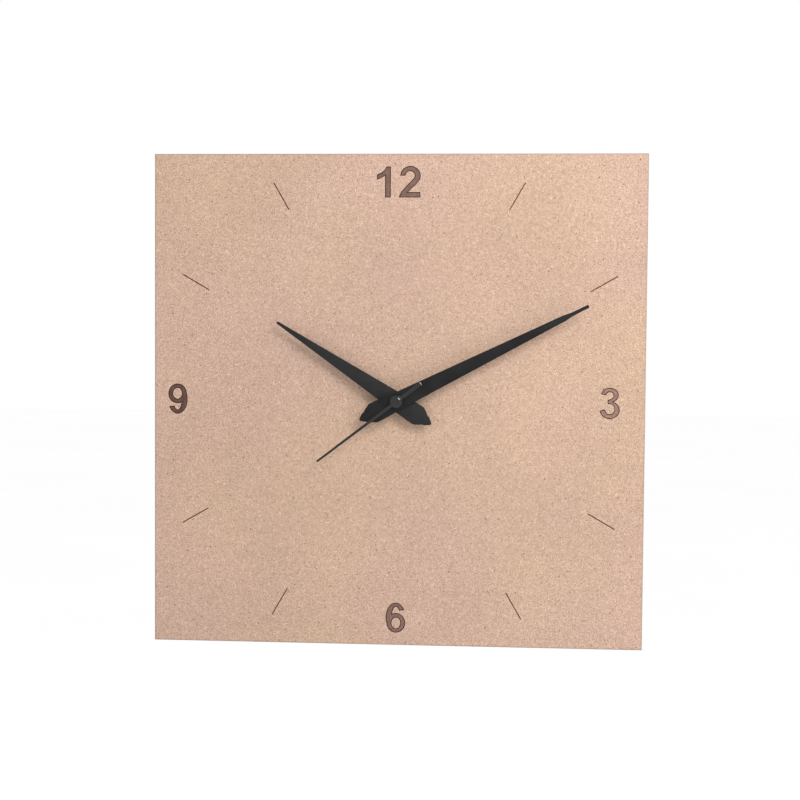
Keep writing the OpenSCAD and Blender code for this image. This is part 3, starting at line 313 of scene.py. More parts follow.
class Finish:
    """A material being made. Each method adds a node and returns its output, so a finish reads as a formula. Scales
    are in features per metre of Object coordinates."""

    def __init__(self, name, roughness=0.5, metallic=0.0, specular=0.5):
        self.material = bpy.data.materials.new(name)
        self.material.use_nodes = True
        self.tree = self.material.node_tree
        self.shader = self.tree.nodes["Principled BSDF"]
        self.place = self.add("TexCoord").outputs["Object"]
        for key, value in (("Roughness", roughness), ("Metallic", metallic), ("Specular IOR Level", specular)):
            self.put(key, value)

    def add(self, kind, inputs=(), **settings):
        """One node of a kind, with its settings and its inputs as (socket, value or output) pairs."""
        node = self.tree.nodes.new(f"ShaderNode{kind}")
        for key, value in settings.items():
            setattr(node, key, value)
        for key, value in inputs:
            self.feed(node.inputs[key], value)
        return node

    def feed(self, socket, value):
        if isinstance(value, bpy.types.NodeSocket):
            self.tree.links.new(value, socket)
        else:
            socket.default_value = value

    def put(self, name, value):
        """Sets or links one of the shader's own sockets."""
        self.feed(self.shader.inputs[name], value)

    def calc(self, operation, a, b=0.0, clamp=False):
        return self.add("Math", [(0, a), (1, b)], operation=operation, use_clamp=clamp).outputs[0]

    def product(self, first, *others):
        for other in others:
            first = self.calc("MULTIPLY", first, other)
        return first

    def total(self, first, *others):
        for other in others:
            first = self.calc("ADD", first, other)
        return first

    def less(self, a, b):
        return self.calc("SUBTRACT", a, b)

    def size(self, value):
        return self.calc("ABSOLUTE", value)

    def far(self, a, b):
        """Length of a step whose two parts are a and b."""
        return self.calc("SQRT", self.total(self.product(a, a), self.product(b, b)))

    def axes(self):
        """The x, y and z of the place on the piece."""
        return self.add("SeparateXYZ", [(0, self.place)]).outputs

    def noise(self, scale, detail=2.0, roughness=0.5, distortion=0.0, at=None):
        pairs = [("Vector", at or self.place), ("Scale", scale), ("Detail", detail), ("Roughness", roughness),
                 ("Distortion", distortion)]
        return self.add("TexNoise", pairs).outputs[0]

    def streaks(self, factors, detail=3.0, roughness=0.6, distortion=0.0, turn=(0, 0, 0)):
        """Noise at a place that is turned and then scaled by a factor on each axis, so that it runs long on the small
        ones."""
        turned = self.add("Mapping", [("Vector", self.place), ("Rotation", turn)]).outputs[0]
        place = self.add("Mapping", [("Vector", turned), ("Scale", factors)]).outputs[0]
        return self.noise(1.0, detail, roughness, distortion, place)

    def line_noise(self, value, scale):
        """Noise along one number only, as for the rings that a lathe tool leaves."""
        pairs = [("W", value), ("Scale", scale), ("Detail", 3.0)]
        return self.add("TexNoise", pairs, noise_dimensions="1D").outputs[0]

    def cells(self, scale, at=None, feature="F1", output="Distance", randomness=1.0, dimensions="3D"):
        pairs = [("Vector", at or self.place), ("Scale", scale), ("Randomness", randomness)]
        node = self.add("TexVoronoi", pairs, feature=feature, voronoi_dimensions=dimensions)
        return node.outputs[output]

    def step(self, value, start, end, low=0.0, high=1.0):
        """A smooth step from low at start to high at end."""
        pairs = [(0, value), (1, start), (2, end), (3, low), (4, high)]
        return self.add("MapRange", pairs, interpolation_type="SMOOTHSTEP").outputs[0]

    def fall(self, value, start, end):
        """A smooth step from 1 at start to 0 at end."""
        return self.step(value, start, end, 1.0, 0.0)

    def mix(self, amount, a, b, blend="MIX"):
        """Two colours mixed by amount."""
        a, b = ((*c, 1) if isinstance(c, (tuple, list)) and len(c) == 3 else c for c in (a, b))
        node = self.add("Mix", [(0, amount), (6, a), (7, b)], data_type="RGBA", blend_type=blend)
        return node.outputs[2]

    def tinted(self, colour, factors):
        """A colour times a factor for each of its channels."""
        return self.mix(1.0, colour, factors, "MULTIPLY")

    def tones(self, value, start, end, base, dark, light):
        """The colour base, times dark where value is at start and times light where it is at end."""
        return self.mix(self.step(value, start, end), shade(base, dark), shade(base, light))

    def wear(self, value, low, high):
        """Roughness between low and high."""
        self.put("Roughness", self.step(value, 0.25, 0.75, low, high))

    def paint(self, value):
        self.put("Base Color", value)

    def bump(self, *layers):
        """Stacks bumps on each other. Each layer is (height from 0 to 1, depth in mm, strength)."""
        normal = None
        for height, depth, strength in layers:
            pairs = [("Height", height), ("Distance", depth * MM), ("Strength", strength)]
            if normal is not None:
                pairs.append(("Normal", normal))
            normal = self.add("Bump", pairs).outputs[0]
        self.put("Normal", normal)


def shade(base, factor):
    """A colour made lighter or darker, kept below white."""
    return tuple(min(1.0, c * factor) for c in base)


def raw_fibreboard(looks):
    """Fibreboard with its fibres, specks and pressed mottle, burnt where the beam cut into it.

    How deep a spot lies behind the front face tells what burnt it: the numerals' ground, the deeper scored line, or
    the board's sides."""
    f = Finish("raw_fibreboard", roughness=0.82, specular=0.2)
    front = span("dial_board")[1]
    half = reach("dial_board")
    x, y, z = f.axes()
    depth = f.less(y, front)
    raw = tuple(looks.raw)

    # face: slow blotches and tints, pressed mottle, and the dust of fine fibres
    blotch = f.noise(16, 3)
    mottle = f.noise(420, 3, 0.6)
    dust = f.noise(3300, 1, 0.5)
    tint = f.noise(9, 2, 0.5)
    face = f.tones(blotch, 0.3, 0.7, raw, 0.965, 1.035)
    for pattern, start, end, dark, light in (
            (tint, 0.35, 0.65, (1.003, 0.995, 1.03), (1.0, 1.004, 0.965)),
            (mottle, 0.34, 0.68, (0.955, 0.950, 0.945), (1.04, 1.04, 1.04)),
            (dust, 0.3, 0.7, (0.64, 0.62, 0.60), (1.33, 1.335, 1.34))):
        face = f.mix(f.step(pattern, start, end), f.tinted(face, dark), f.tinted(face, light))

    def strokes(shift, long, wide, share):
        """Bent fibres on the face, at most one in each cell of a pattern, lying in the cell's own direction: inside
        where the distance from the fibre's own line, a parabola through the cell's seed, is below wide."""
        across, up = f.total(x, shift), f.total(z, shift)
        spot = f.add("CombineXYZ", [(0, across), (1, up)]).outputs[0]
        cell = f.add("TexVoronoi", [("Vector", spot), ("Scale", 0.42 / long)], voronoi_dimensions="2D")
        seed = f.add("SeparateXYZ", [(0, cell.outputs["Position"])]).outputs
        luck = f.add("SeparateColor", [(0, cell.outputs["Color"])]).outputs
        dx, dz = f.less(across, seed[0]), f.less(up, seed[1])
        angle = f.product(luck[0], tau)
        c, t = f.calc("COSINE", angle), f.calc("SINE", angle)
        u = f.total(f.product(dx, c), f.product(dz, t))
        v = f.less(f.product(dz, c), f.product(dx, t))
        bend = f.product(f.less(luck[1], 0.5), 0.8 / long)
        off = f.size(f.less(v, f.product(bend, u, u)))
        body = f.fall(off, 0.45 * wide, wide)
        ends = f.fall(f.size(u), 0.7 * long, long)
        return f.product(body, ends, f.step(luck[2], 1 - share, 1.02 - share))

    fibre = looks.fibre
    pale = f.calc("MAXIMUM", strokes(0.31, fibre, 0.20 * MM, 0.08), strokes(0.73, 0.7 * fibre, 0.16 * MM, 0.12))
    brown = f.calc("MAXIMUM", strokes(1.17, fibre, 0.20 * MM, 0.07), strokes(1.93, 0.6 * fibre, 0.16 * MM, 0.12))
    face = f.mix(f.product(pale, 0.50), face, (0.70, 0.555, 0.455))
    face = f.mix(f.product(brown, 0.40), face, (0.23, 0.135, 0.095))

    # dark specks of bark, a few larger ones among many small
    flat = f.add("CombineXYZ", [(0, x), (1, z)]).outputs[0]
    for scale, radius, start, end in ((430, 0.14, 0.58, 0.80), (88, 0.046, 0.56, 0.66)):
        speck = f.fall(f.cells(scale, flat, dimensions="2D"), 0.6 * radius, radius)
        dark = f.step(f.cells(scale, flat, output="Color", dimensions="2D"), start, end, 0.0, 0.85)
        face = f.mix(f.product(speck, dark), face, (0.13, 0.065, 0.042))

    # sides: char with the beam's fine ripples across the thickness
    ripple = f.streaks((2600, 90, 2600))
    char = f.tones(ripple, 0.35, 0.68, looks.edge, 0.5, 2.1)
    scorched = f.noise(70, 3, 0.6)
    char = f.mix(f.step(scorched, 0.4, 0.75, 0.0, 0.5), char, shade(raw, 0.45))
    outer = f.calc("MAXIMUM", f.size(x), f.size(z))
    side = f.step(outer, half - 0.22 * MM, half - 0.04 * MM)
    singe = f.step(outer, half - 1.3 * MM, half, 0.0, 0.45)
    surface = f.mix(singe, face, (0.26, 0.185, 0.15))
    surface = f.mix(side, surface, char)

    # numerals: ground burnt less towards the right, with streaks, and a dark scored line
    drift = f.total(f.product(x, 4.0), f.product(z, -0.3), 0.35)
    paler = f.calc("ADD", drift, f.product(f.step(mottle, 0.3, 0.7), 0.2), clamp=True)
    ash = f.tones(f.streaks((1500, 1500, 240), distortion=0.3), 0.32, 0.7, looks.fill, 0.75, 1.3)
    tan = f.tones(f.noise(900, 3, 0.65), 0.34, 0.66, looks.fill_pale, 0.8, 1.2)
    ground = f.mix(paler, ash, tan)
    near_axis = f.calc("MINIMUM", f.size(x), f.size(z))
    lines = f.mix(f.step(near_axis, 25 * MM, 35 * MM), looks.score[:], looks.tick[:])
    scorch = f.step(f.noise(240, 3, 0.6), 0.35, 0.68)
    lines = f.mix(scorch, f.tinted(lines, (0.6, 0.6, 0.6)), f.mix(0.10, lines, looks.fill_pale[:]))
    away = f.product(f.step(f.far(x, z), 8 * MM, 10 * MM), f.fall(depth, 0.9 * MM, 1.2 * MM),
                     f.fall(outer, half - 2.4 * MM, half - 1.8 * MM))
    filled = f.product(away, f.step(depth, 0.06 * MM, 0.2 * MM))
    scored = f.product(away, f.step(depth, 0.33 * MM, 0.42 * MM))
    surface = f.mix(filled, surface, ground)
    surface = f.mix(scored, surface, lines)
    f.paint(surface)

    f.wear(f.less(mottle, f.product(pale, 0.3)), 0.70, 0.92)
    f.bump((mottle, 0.04, 0.4), (dust, 0.03, 0.5), (pale, 0.05, 0.5), (ripple, 0.03, 0.4))
    return f.material


def black_paint(name, looks, low, high, specular, tone=1.0):
    """Black paint on stamped sheet: fine orange peel, dust that has settled, and a slow change of gloss."""
    f = Finish(name, specular=specular)
    peel = f.noise(1500, 2, 0.55)
    cloud = f.noise(90, 3, 0.6)
    dust = f.fall(f.cells(900), 0.05, 0.12)
    lint = f.product(dust, f.step(f.noise(260, 2), 0.55, 0.68))
    base = f.tones(cloud, 0.3, 0.72, looks.paint, 0.82 * tone, 1.3 * tone)
    f.paint(f.mix(f.product(lint, 0.35), base, (0.14, 0.13, 0.12)))
    f.wear(cloud, low, high)
    f.bump((peel, 0.012, 0.45), (lint, 0.02, 0.5))
    return f.material


def moulded(name, base, low, high, grain=4200.0, specular=0.4, glow=0.0):
    """Injection-moulded plastic: an eroded mould texture, slight flow clouds, and rubbed, shinier patches."""
    f = Finish(name, specular=specular)
    texture = f.noise(grain, 3, 0.6)
    flow = f.noise(70, 3, 0.6, 1.2)
    rub = f.noise(210, 4, 0.65)
    tone = f.tones(flow, 0.3, 0.7, base, 0.86, 1.13)
    tone = f.mix(f.step(texture, 0.35, 0.7, 0.0, 0.35), tone, shade(base, 1.25))
    f.paint(tone)
    f.put("Subsurface Weight", glow)
    f.put("Subsurface Radius", (0.9 * MM, 0.8 * MM, 0.6 * MM))
    f.put("Subsurface Scale", 1.0)
    f.wear(rub, low, high)
    f.bump((texture, 0.02, 0.35), (flow, 0.05, 0.08))
    return f.material


def lathe_metal(name, base, groove, low=0.2, high=0.38):
    """Turned metal: rings round the shaft from the tool, fine scratches across them, and a faint tarnish."""
    f = Finish(name, metallic=1.0)
    x, y, z = f.axes()
    rings = f.line_noise(f.total(f.far(x, z), f.product(y, 0.7)), 1.0 / groove)
    scratch = f.streaks((3800, 500, 900), turn=(0, 0.6, 0.2))
    tarnish = f.noise(170, 4, 0.62)
    tone = f.tones(rings, 0.3, 0.7, base, 0.82, 1.12)
    tone = f.mix(f.step(tarnish, 0.48, 0.8, 0.0, 0.55), tone, shade(base, 0.55))
    f.paint(tone)
    f.wear(f.total(f.product(tarnish, 0.7), f.product(scratch, 0.3)), low, high)
    f.bump((rings, 0.01, 0.5), (scratch, 0.004, 0.4))
    return f.material


def drawn_metal(name, base, factors, low=0.22, high=0.42):
    """Rolled or drawn metal: fine lines along the stock, given by factors, with spots of tarnish."""
    f = Finish(name, metallic=1.0)
    lines = f.streaks(factors, 4.0)
    spots = f.noise(420, 4, 0.6)
    tone = f.tones(lines, 0.3, 0.7, base, 0.84, 1.12)
    tone = f.mix(f.step(spots, 0.52, 0.8, 0.0, 0.5), tone, shade(base, 0.6))
    f.paint(tone)
    f.wear(spots, low, high)
    f.bump((lines, 0.006, 0.5))
    return f.material


def bonded_magnet(looks):
    """Pressed magnet powder: dark grey, with bright grains, and small pits that the bump sinks and that are painted
    darker as shade.
    """
    f = Finish("bonded_magnet", metallic=0.35)
    grains = f.noise(5200, 3, 0.7)
    pits_and_shade = f.fall(f.cells(2600), 0.08, 0.2)
    tone = f.mix(f.step(grains, 0.4, 0.72), looks.magnet[:], shade(looks.magnet, 3.2))
    # painted shade: the pits are darkened in the colour as well as sunk by the bump
    f.paint(f.mix(pits_and_shade, tone, shade(looks.magnet, 0.4)))
    f.wear(grains, 0.38, 0.6)
    f.bump((grains, 0.015, 0.5), (pits_and_shade, -0.02, 0.6))
    return f.material


def enamelled_wire(looks):
    """Copper wire under clear enamel: redder and darker where the enamel is thick."""
    f = Finish("enamelled_wire", metallic=0.9)
    thick = f.noise(300, 3, 0.6)
    fine = f.noise(2600, 2, 0.6)
    tone = f.tones(thick, 0.3, 0.7, looks.copper, 0.62, 1.15)
    f.paint(f.mix(f.step(fine, 0.55, 0.8, 0.0, 0.5), tone, shade(looks.copper, 0.35)))
    f.put("Coat Weight", 0.5)
    f.put("Coat Roughness", 0.12)
    f.wear(fine, 0.26, 0.4)
    f.bump((fine, 0.004, 0.4))
    return f.material


def cast_rubber(looks):
    """Soft black rubber: a fine matt skin, pale bloom and dust."""
    f = Finish("cast_rubber", specular=0.3)
    skin = f.noise(2400, 3, 0.65)
    bloom = f.noise(150, 3, 0.6)
    f.paint(f.mix(f.step(bloom, 0.45, 0.8, 0.0, 0.5), looks.rubber[:], shade(looks.rubber, 3.0)))
    f.wear(bloom, 0.74, 0.92)
    f.bump((skin, 0.02, 0.5))
    return f.material


def printed_circuit(looks):
    """Solder mask over copper: tracks show as raised, lighter cells' borders, and tinned pads as bright dots."""
    f = Finish("printed_circuit", specular=0.5)
    x, _, z = f.axes()
    flat = f.add("CombineXYZ", [(0, x), (2, z)]).outputs[0]
    track = f.fall(f.cells(520, flat, "DISTANCE_TO_EDGE", randomness=0.45), 0.10, 0.15)
    pad = f.fall(f.cells(390, flat, randomness=0.35), 0.13, 0.16)
    ring = f.step(f.cells(390, flat, randomness=0.35), 0.05, 0.07)
    weave = f.streaks((5200, 5200, 900), 2.0, 0.5)
    mask = f.tones(weave, 0.3, 0.7, looks.mask, 0.75, 1.2)
    mask = f.mix(f.product(track, 0.8), mask, shade(looks.mask, 2.1))
    f.paint(f.mix(f.product(pad, ring), mask, (0.66, 0.66, 0.62)))
    f.put("Metallic", f.product(pad, ring))
    f.wear(weave, 0.24, 0.40)
    f.bump((track, 0.03, 0.6), (pad, 0.05, 0.6))
    return f.material


def cell_sleeve(looks, metals):
    """Film sleeve with a plain band and a thin line at the positive end, and bare tinned ends inside its rims."""
    f = Finish("cell_sleeve", specular=0.5)
    _, plus, radius, middle = bar("battery_cell")
    x, y, z = f.axes()
    far = f.far(f.less(y, middle[1]), f.less(z, middle[2]))
    bare = f.fall(far, radius - 1.5 * MM, radius - 1.35 * MM)
    scuff = f.streaks((260, 1500, 1500), 4.0, 0.65, 0.6)
    start = plus - looks.band_w
    band = f.step(x, start - 0.05 * MM, start + 0.05 * MM)
    line = f.fall(f.size(f.less(x, start - 1.6 * MM)), 0.35 * MM, 0.45 * MM)
    film = f.mix(f.calc("MAXIMUM", band, line), looks.sleeve[:], looks.band[:])
    film = f.mix(f.step(scuff, 0.5, 0.78, 0.0, 0.4), film, (0.40, 0.41, 0.38))
    tin = f.tones(scuff, 0.3, 0.7, metals.nickel, 0.7, 1.05)
    f.paint(f.mix(bare, film, tin))
    f.put("Metallic", bare)
    f.wear(scuff, 0.22, 0.42)
    f.bump((scuff, 0.01, 0.4), (f.noise(700, 2), 0.02, 0.25))
    return f.material


def studio_floor(looks):
    """Pale painted floor with a barely visible mottle."""
    f = Finish("studio_floor", roughness=0.9, specular=0.1)
    cloud = f.noise(1.4, 3, 0.5)
    f.paint(f.tones(cloud, 0.3, 0.7, looks.floor, 0.995, 1.005))
    f.bump((f.noise(220, 2), 0.2, 0.1))
    return f.material


# ---- shapes of the clock's own pieces

def hand_outline(stations, corner_round):
    """Closed outline of a hand along its own length, from (distance from the shaft, half width) stations in
    millimetres, which run up one side and down the other.

    Each corner is eased, and the outline is then sampled at even steps along its length as well as at its own
    points, so that both corners and long sides are smooth."""
    steps = 420
    stations = np.asarray(stations, float) * MM
    side = stations[:, ::-1]
    corners = np.concatenate([side, side[::-1] * [-1, 1]])
    line = eased(corners, corner_round, 5)
    line = np.concatenate([line, line[:1]])
    along = np.concatenate([[0], np.cumsum(np.linalg.norm(np.diff(line, axis=0), axis=1))])
    spots = np.union1d(np.linspace(0, along[-1], steps, endpoint=False), along[:-1])
    spots = spots[np.concatenate([[True], np.diff(spots) > 0.02 * MM])]
    return np.stack([np.interp(spots, along, line[:, k]) for k in (0, 1)], -1)


def stamped_grid(outline, bore, back, front, edge_round, angle, slope=0.0):
    """Section of a stamped plate carried round its outline.

    Each row is either a ring round the bore, a point at radius bore in the outline point's direction, or the outline
    moved in along its normal. The rows go: back of the bore, back face, quarter arc, side, quarter arc, front face,
    front of the bore. With a slope, a flat chamfer of that width takes the front arc's place. The plate is then
    turned by angle, clockwise as seen from the front."""
    way = outline / np.linalg.norm(outline, axis=1, keepdims=True)
    tangent = np.roll(outline, -1, 0) - np.roll(outline, 1, 0)
    tangent /= np.linalg.norm(tangent, axis=1, keepdims=True)
    normal = np.stack([tangent[:, 1], -tangent[:, 0]], -1)
    if np.sum(normal * outline) < 0:
        normal = -normal
    arc = np.linspace(0, pi / 2, 4)
    inset = edge_round * (1 - np.sin(arc))
    drop = edge_round * (1 - np.cos(arc))
    rim = [(i, back - d) for i, d in zip(inset, drop)]
    if slope:
        rim += [(0.0, front + CHAMFER_RISE * slope), (slope, front)]
    else:
        rim += [(i, front + d) for i, d in zip(inset[::-1], drop[::-1])]
    rings = [(bore, back - edge_round / 2), (bore + edge_round / 2, back)]
    rows = [(way * r, y) for r, y in rings] + [(outline - normal * i, y) for i, y in rim]
    rows += [(way * r, front + back - y) for r, y in rings[::-1]]
    grid = np.stack([np.column_stack([p[:, 0], np.full(len(p), y), p[:, 1]]) for p, y in rows])
    turn = np.array([[cos(angle), 0, -sin(angle)], [0, 1, 0], [sin(angle), 0, cos(angle)]])
    return grid @ turn


def repeated(radii, steps):
    """Each radius once for every step of a full turn."""
    return np.repeat(np.reshape(radii, (-1, 1)), steps, 1)


def threaded_sleeve(bore, major, pitch, back, front, flange, flange_t):
    """Tube with a flange at its back and a screw thread outside: the radius falls from major by up to 0.6 pitch along
    thread_wave, and the thread fades out over the last pitch at each end."""
    steps, ease = 84, 0.15 * MM
    root = back - flange_t
    depth = np.linspace(root - 1.3 * MM, front + 0.35 * MM, int((root - front) / pitch * 8))
    fade = np.clip(np.minimum(depth[0] - depth, depth - depth[-1]) / pitch, 0, 1)[:, None]
    wall = major - 0.6 * pitch * (1 - thread_wave(steps, depth, pitch)) * fade
    plain = [(bore, back), (flange - ease, back), (flange, back - ease), (flange, root + ease),
             (flange - ease, root), (major, root)]
    lead = [(major - 0.35 * MM, front), (bore + 0.12 * MM, front), (bore, front + 0.12 * MM)]
    radii = [repeated([r for r, _ in plain], steps), wall, repeated([r for r, _ in lead], steps)]
    return round_grid(np.concatenate(radii), np.array([y for _, y in plain] + list(depth) + [y for _, y in lead]))


def nut_grid(flats, bore, pitch, back, front):
    """Hexagon nut: outside, the radius is half the flats over the cosine of the angle to the nearest flat, limited by
    a cone at both faces. Inside, the bore grows from its crests by up to 0.3 pitch along thread_wave, and opens in a
    lead at both faces."""
    steps = 144
    nearest = (unit_circle(steps) + pi / 6) % (pi / 3) - pi / 6
    corner = flats / 2 / cos(pi / 6)
    thick = back - front
    share = np.concatenate([np.linspace(0, 0.22, 6), np.linspace(0.28, 0.72, 4), np.linspace(0.78, 1, 6)])
    nearness = np.minimum(share, 1 - share) * thick
    cone = (corner - 0.55 * MM + 1.9 * nearness)[:, None]
    outside = np.minimum(flats / 2 / np.cos(nearest), cone)
    depth_in = np.linspace(front + 0.2 * MM, back - 0.2 * MM, 30)
    inside = bore + 0.3 * pitch * (1 - thread_wave(steps, depth_in, pitch))
    lead = repeated(bore + 0.45 * MM, steps)
    depths = np.concatenate([back - share * thick, [front], depth_in, [back]])
    return round_grid(np.concatenate([outside, lead, inside, lead]), depths)


def wound_grid(start, end, outer, middle, inner, wire):
    """Wire laid round a tube along x: each turn is a half circle of the wire's diameter that moves on by one wire in
    a full turn, so the radius is outer less the half circle's fall, and a slow wave makes the layer uneven."""
    steps = 72
    turn = unit_circle(steps)
    first, last = start + 0.05 * MM, end - 0.05 * MM
    x = np.linspace(first, last, int((end - start) / wire * 6))
    off = ((x[:, None] / wire - turn / tau) % 1 - 0.5) * wire
    sag = 0.1 * MM * (0.5 + 0.5 * np.sin(x[:, None] * 900 + np.sin(turn * 2)))
    coil = outer - wire / 2 + np.sqrt(np.maximum((wire / 2) ** 2 - off**2, 0)) - sag
    radii = np.concatenate([repeated(inner, steps), coil, repeated(inner, steps)])
    return round_grid(radii, np.array([first, *x, last]), "x") + np.array([0, middle[1], middle[2]])


# ---- operators

class ClockStep:
    """What the operators share: they can be undone, and they sit in one panel."""

    bl_options = {"REGISTER", "UNDO"}


class CLOCK_OT_dial_board(ClockStep, bpy.types.Operator):
    """Finish the burnt fibreboard dial"""

    bl_idname = "clock.dial_board"
    bl_label = "Dial board"

    def execute(self, context):
        finish_node("dial_board", raw_fibreboard(context.scene.clock_board))
        return {"FINISHED"}


class CLOCK_OT_clamping_parts(ClockStep, bpy.types.Operator):
    """Build the rubber pad, washer, nut and threaded bush that clamp the movement to the board"""

    bl_idname = "clock.clamping_parts"
    bl_label = "Clamping parts"

    def execute(self, context):
        metals = context.scene.clock_metals
        brass = lathe_metal("turned_brass", metals.brass[:], metals.groove)
        major, pitch = 4 * MM, 0.75 * MM  # of the bush's thread
        sleeve = threaded_sleeve(2.56 * MM, major - 0.03 * MM, pitch, *span("threaded_bush"),
                                 reach("threaded_bush"), 0.8 * MM)
        build("bush_threaded", sleeve, "root", "brass", brass, "threaded_bush")
        back, front = span("face_washer")
        bore, radius = major + 0.1 * MM, reach("face_washer")
        ring = eased([(bore, back), (radius, back), (radius, front), (bore, front)], 0.14 * MM)
        build("washer_rounded", turned_grid(ring), "root", "brass", brass, "face_washer")
        low, high = extent("hex_nut")
        flats = min(high[0] - low[0], high[2] - low[2])
        nut = nut_grid(flats, major + 0.04 * MM, pitch, *span("hex_nut"))
        build("nut_hexagon", nut, "root", "brass", brass, "hex_nut")
        rubber = cast_rubber(context.scene.clock_movement)
        back, front = span("rubber_pad")
        radius, bore = reach("rubber_pad"), major + 0.3 * MM
        ease, margin, ribs = 0.2 * MM, 0.8 * MM, 6
        spots = np.linspace(bore + margin, radius - margin, 57)
        groove = 0.12 * MM * (0.5 - 0.5 * np.cos((spots - spots[0]) / (spots[-1] - spots[0]) * tau * ribs))
        pad = [(bore, back), *zip(spots, back - groove), (radius - ease, back), (radius, back - ease),
               (radius, front + ease), (radius - ease, front), *zip(spots[::-1], front + groove), (bore, front)]
        build("pad_ribbed", turned_grid(pad), "root", "rubber", rubber, "rubber_pad")
        return {"FINISHED"}


class CLOCK_OT_hands(ClockStep, bpy.types.Operator):
    """Build the stamped hour and minute hands and their turned collars"""

    bl_idname = "clock.hands"
    bl_label = "Hour and minute hands"

    def execute(self, context):
        looks = context.scene.clock_hands
        metals = context.scene.clock_metals
        alloy = lathe_metal("turned_alloy", metals.alloy[:], metals.groove)
        # the tail's stations, and each hand's body, pipe radius and collar wall in millimetres, shine and stations
        tail = [(-25, 0.55), (-22.1, 2.75), (-20.3, 3.3), (-18.7, 4.6), (-15.8, 6.2), (-9, 6.05)]
        blades = {
            "hour": ("hours", 2.5, 1.3, 0.25, [(0, 5.7), (87.1, 0.8), (87.5, 0.35)]),
            "minute": ("minutes", 1.65, 1.1, 0.13, [(0, 5.4), (113, 1.8), (117.8, 1.15), (128.7, 0.95), (129, 0.6)]),
        }
        for name, (body, pipe, wall, shine, blade) in blades.items():
            bore = pipe * MM + FIT
            node = f"{name}_hand"
            paint = black_paint(f"{name}_hand_paint", looks, 0.36, 0.50, shine)
            back, front = span(node)
            outline = hand_outline(tail + blade, looks.corner_round)
            plate = stamped_grid(outline, bore, back, front, looks.edge_round, turn_of(node))
            build(f"{node}_stamped", plate, body, "black_metal", paint, node)
            collar = f"{node}_collar"
            foot, head = span(collar)
            radius = reach(collar)
            middle = (foot + head) / 2
            section = eased([(bore, foot), (bore + 0.55 * wall * MM, foot), (radius, foot - 0.3 * MM),
                             (radius, middle + 0.12 * MM), (radius - 0.15 * MM, middle),
                             (radius, middle - 0.12 * MM), (radius, head), (bore, head)], 0.09 * MM)
            build(f"{collar}_turned", turned_grid(section), body, "turned_alloy", alloy, collar)
        return {"FINISHED"}


class CLOCK_OT_second_hand(ClockStep, bpy.types.Operator):
    """Build the second hand's needle and its hub with the disc that caps the shaft"""

    bl_idname = "clock.second_hand"
    bl_label = "Second hand"

    def execute(self, context):
        looks = context.scene.clock_hands
        paint = black_paint("gloss_black_paint", looks, 0.09, 0.17, 0.5, 0.4)
        back, front = span("second_hand")
        neck, tube, bore = 0.925 * MM, 1.4 * MM, 0.525 * MM
        eye = [(w, np.sqrt(1.9**2 - w**2)) for w in (-1.6, -0.9, 0.0, 0.9, 1.6)]
        stations = [(-18.7, 0.95), (-18.4, 1.25), (-1.75, 1.03), *eye, (1.75, 0.98), (60.5, 0.62)]
        outline = hand_outline(stations, 0.25 * MM)
        needle = stamped_grid(outline, neck, back, front, 0.06 * MM, turn_of("second_hand"), 0.3 * MM)
        build("second_hand_needle", needle, "seconds", "black_metal", paint, "second_hand", crease=20)
        foot, face = span("second_hand_hub")
        disc = reach("second_hand_hub")
        rim = front - 0.02 * MM
        lip, crown, low = disc - 0.9 * MM, disc - 1.5 * MM, face + 0.332 * MM
        section = eased([(0, front), (bore, front), (bore, foot), (tube, foot), (tube, back), (neck, back),
                         (neck, rim), (disc - 0.05 * MM, rim), (disc, rim - 0.18 * MM), (disc, low + 0.2 * MM),
                         (disc - 0.2 * MM, low), (lip, low), (crown, face), (0.6 * MM, face), (0, face + 0.05 * MM)],
                        0.12 * MM, closed=False)
        build("second_hand_disc", turned_grid(section), "seconds", "black_metal", paint, "second_hand_hub", False)
        return {"FINISHED"}


class CLOCK_OT_shell(ClockStep, bpy.types.Operator):
    """Round the moulded edges of the case, cover, hanger and gear bridge, and finish them"""

    bl_idname = "clock.shell"
    bl_label = "Movement shell"

    def execute(self, context):
        looks = context.scene.clock_movement
        shell = moulded("moulded_shell", looks.shell[:], 0.38, 0.56, 2600.0, 0.38)
        for node in ("movement_case", "hanger", "front_cover"):
            eased_copy(node, "moulded", looks.moulding_round, "root", "case_plastic", shell)
        bridge = moulded("moulded_bridge", looks.bridge[:], 0.34, 0.5, glow=0.05)
        eased_copy("gear_bridge", "moulded", 0.1 * MM, "root", "bridge_plastic", bridge)
        return {"FINISHED"}


class CLOCK_OT_setting_knob(ClockStep, bpy.types.Operator):
    """Round the notched setting knob's edges and finish it"""

    bl_idname = "clock.setting_knob"
    bl_label = "Setting knob"

    def execute(self, context):
        looks = context.scene.clock_movement
        ivory = moulded("moulded_knob", looks.knob[:], 0.32, 0.48, glow=0.06)
        eased_copy("setting_knob", "moulded", 0.05 * MM, "knob", "knob_plastic", ivory)
        return {"FINISHED"}


class CLOCK_OT_wheels(ClockStep, bpy.types.Operator):
    """Finish the gear wheels, their steel arbors and the clutch spring"""

    bl_idname = "clock.wheels"
    bl_label = "Wheels and arbors"

    def execute(self, context):
        looks, metals = context.scene.clock_movement, context.scene.clock_metals
        wheel = moulded("moulded_wheel", looks.wheel[:], 0.3, 0.46, 5200.0, glow=0.06)
        for node in ("hour_wheel", "centre_wheel", "minute_wheel", "setting_pinion", "second_wheel", "third_wheel",
                     "intermediate_wheel", "rotor_pinion"):
            finish_node(node, wheel)
        steel = drawn_metal("ground_steel", metals.steel[:], (1600, 5200, 1600), 0.16, 0.32)
        for node in ("second_arbor", "third_arbor", "minute_arbor"):
            finish_node(node, steel)
        finish_node("clutch_spring", drawn_metal("rolled_brass", metals.brass[:], (3600, 600, 600)))
        return {"FINISHED"}


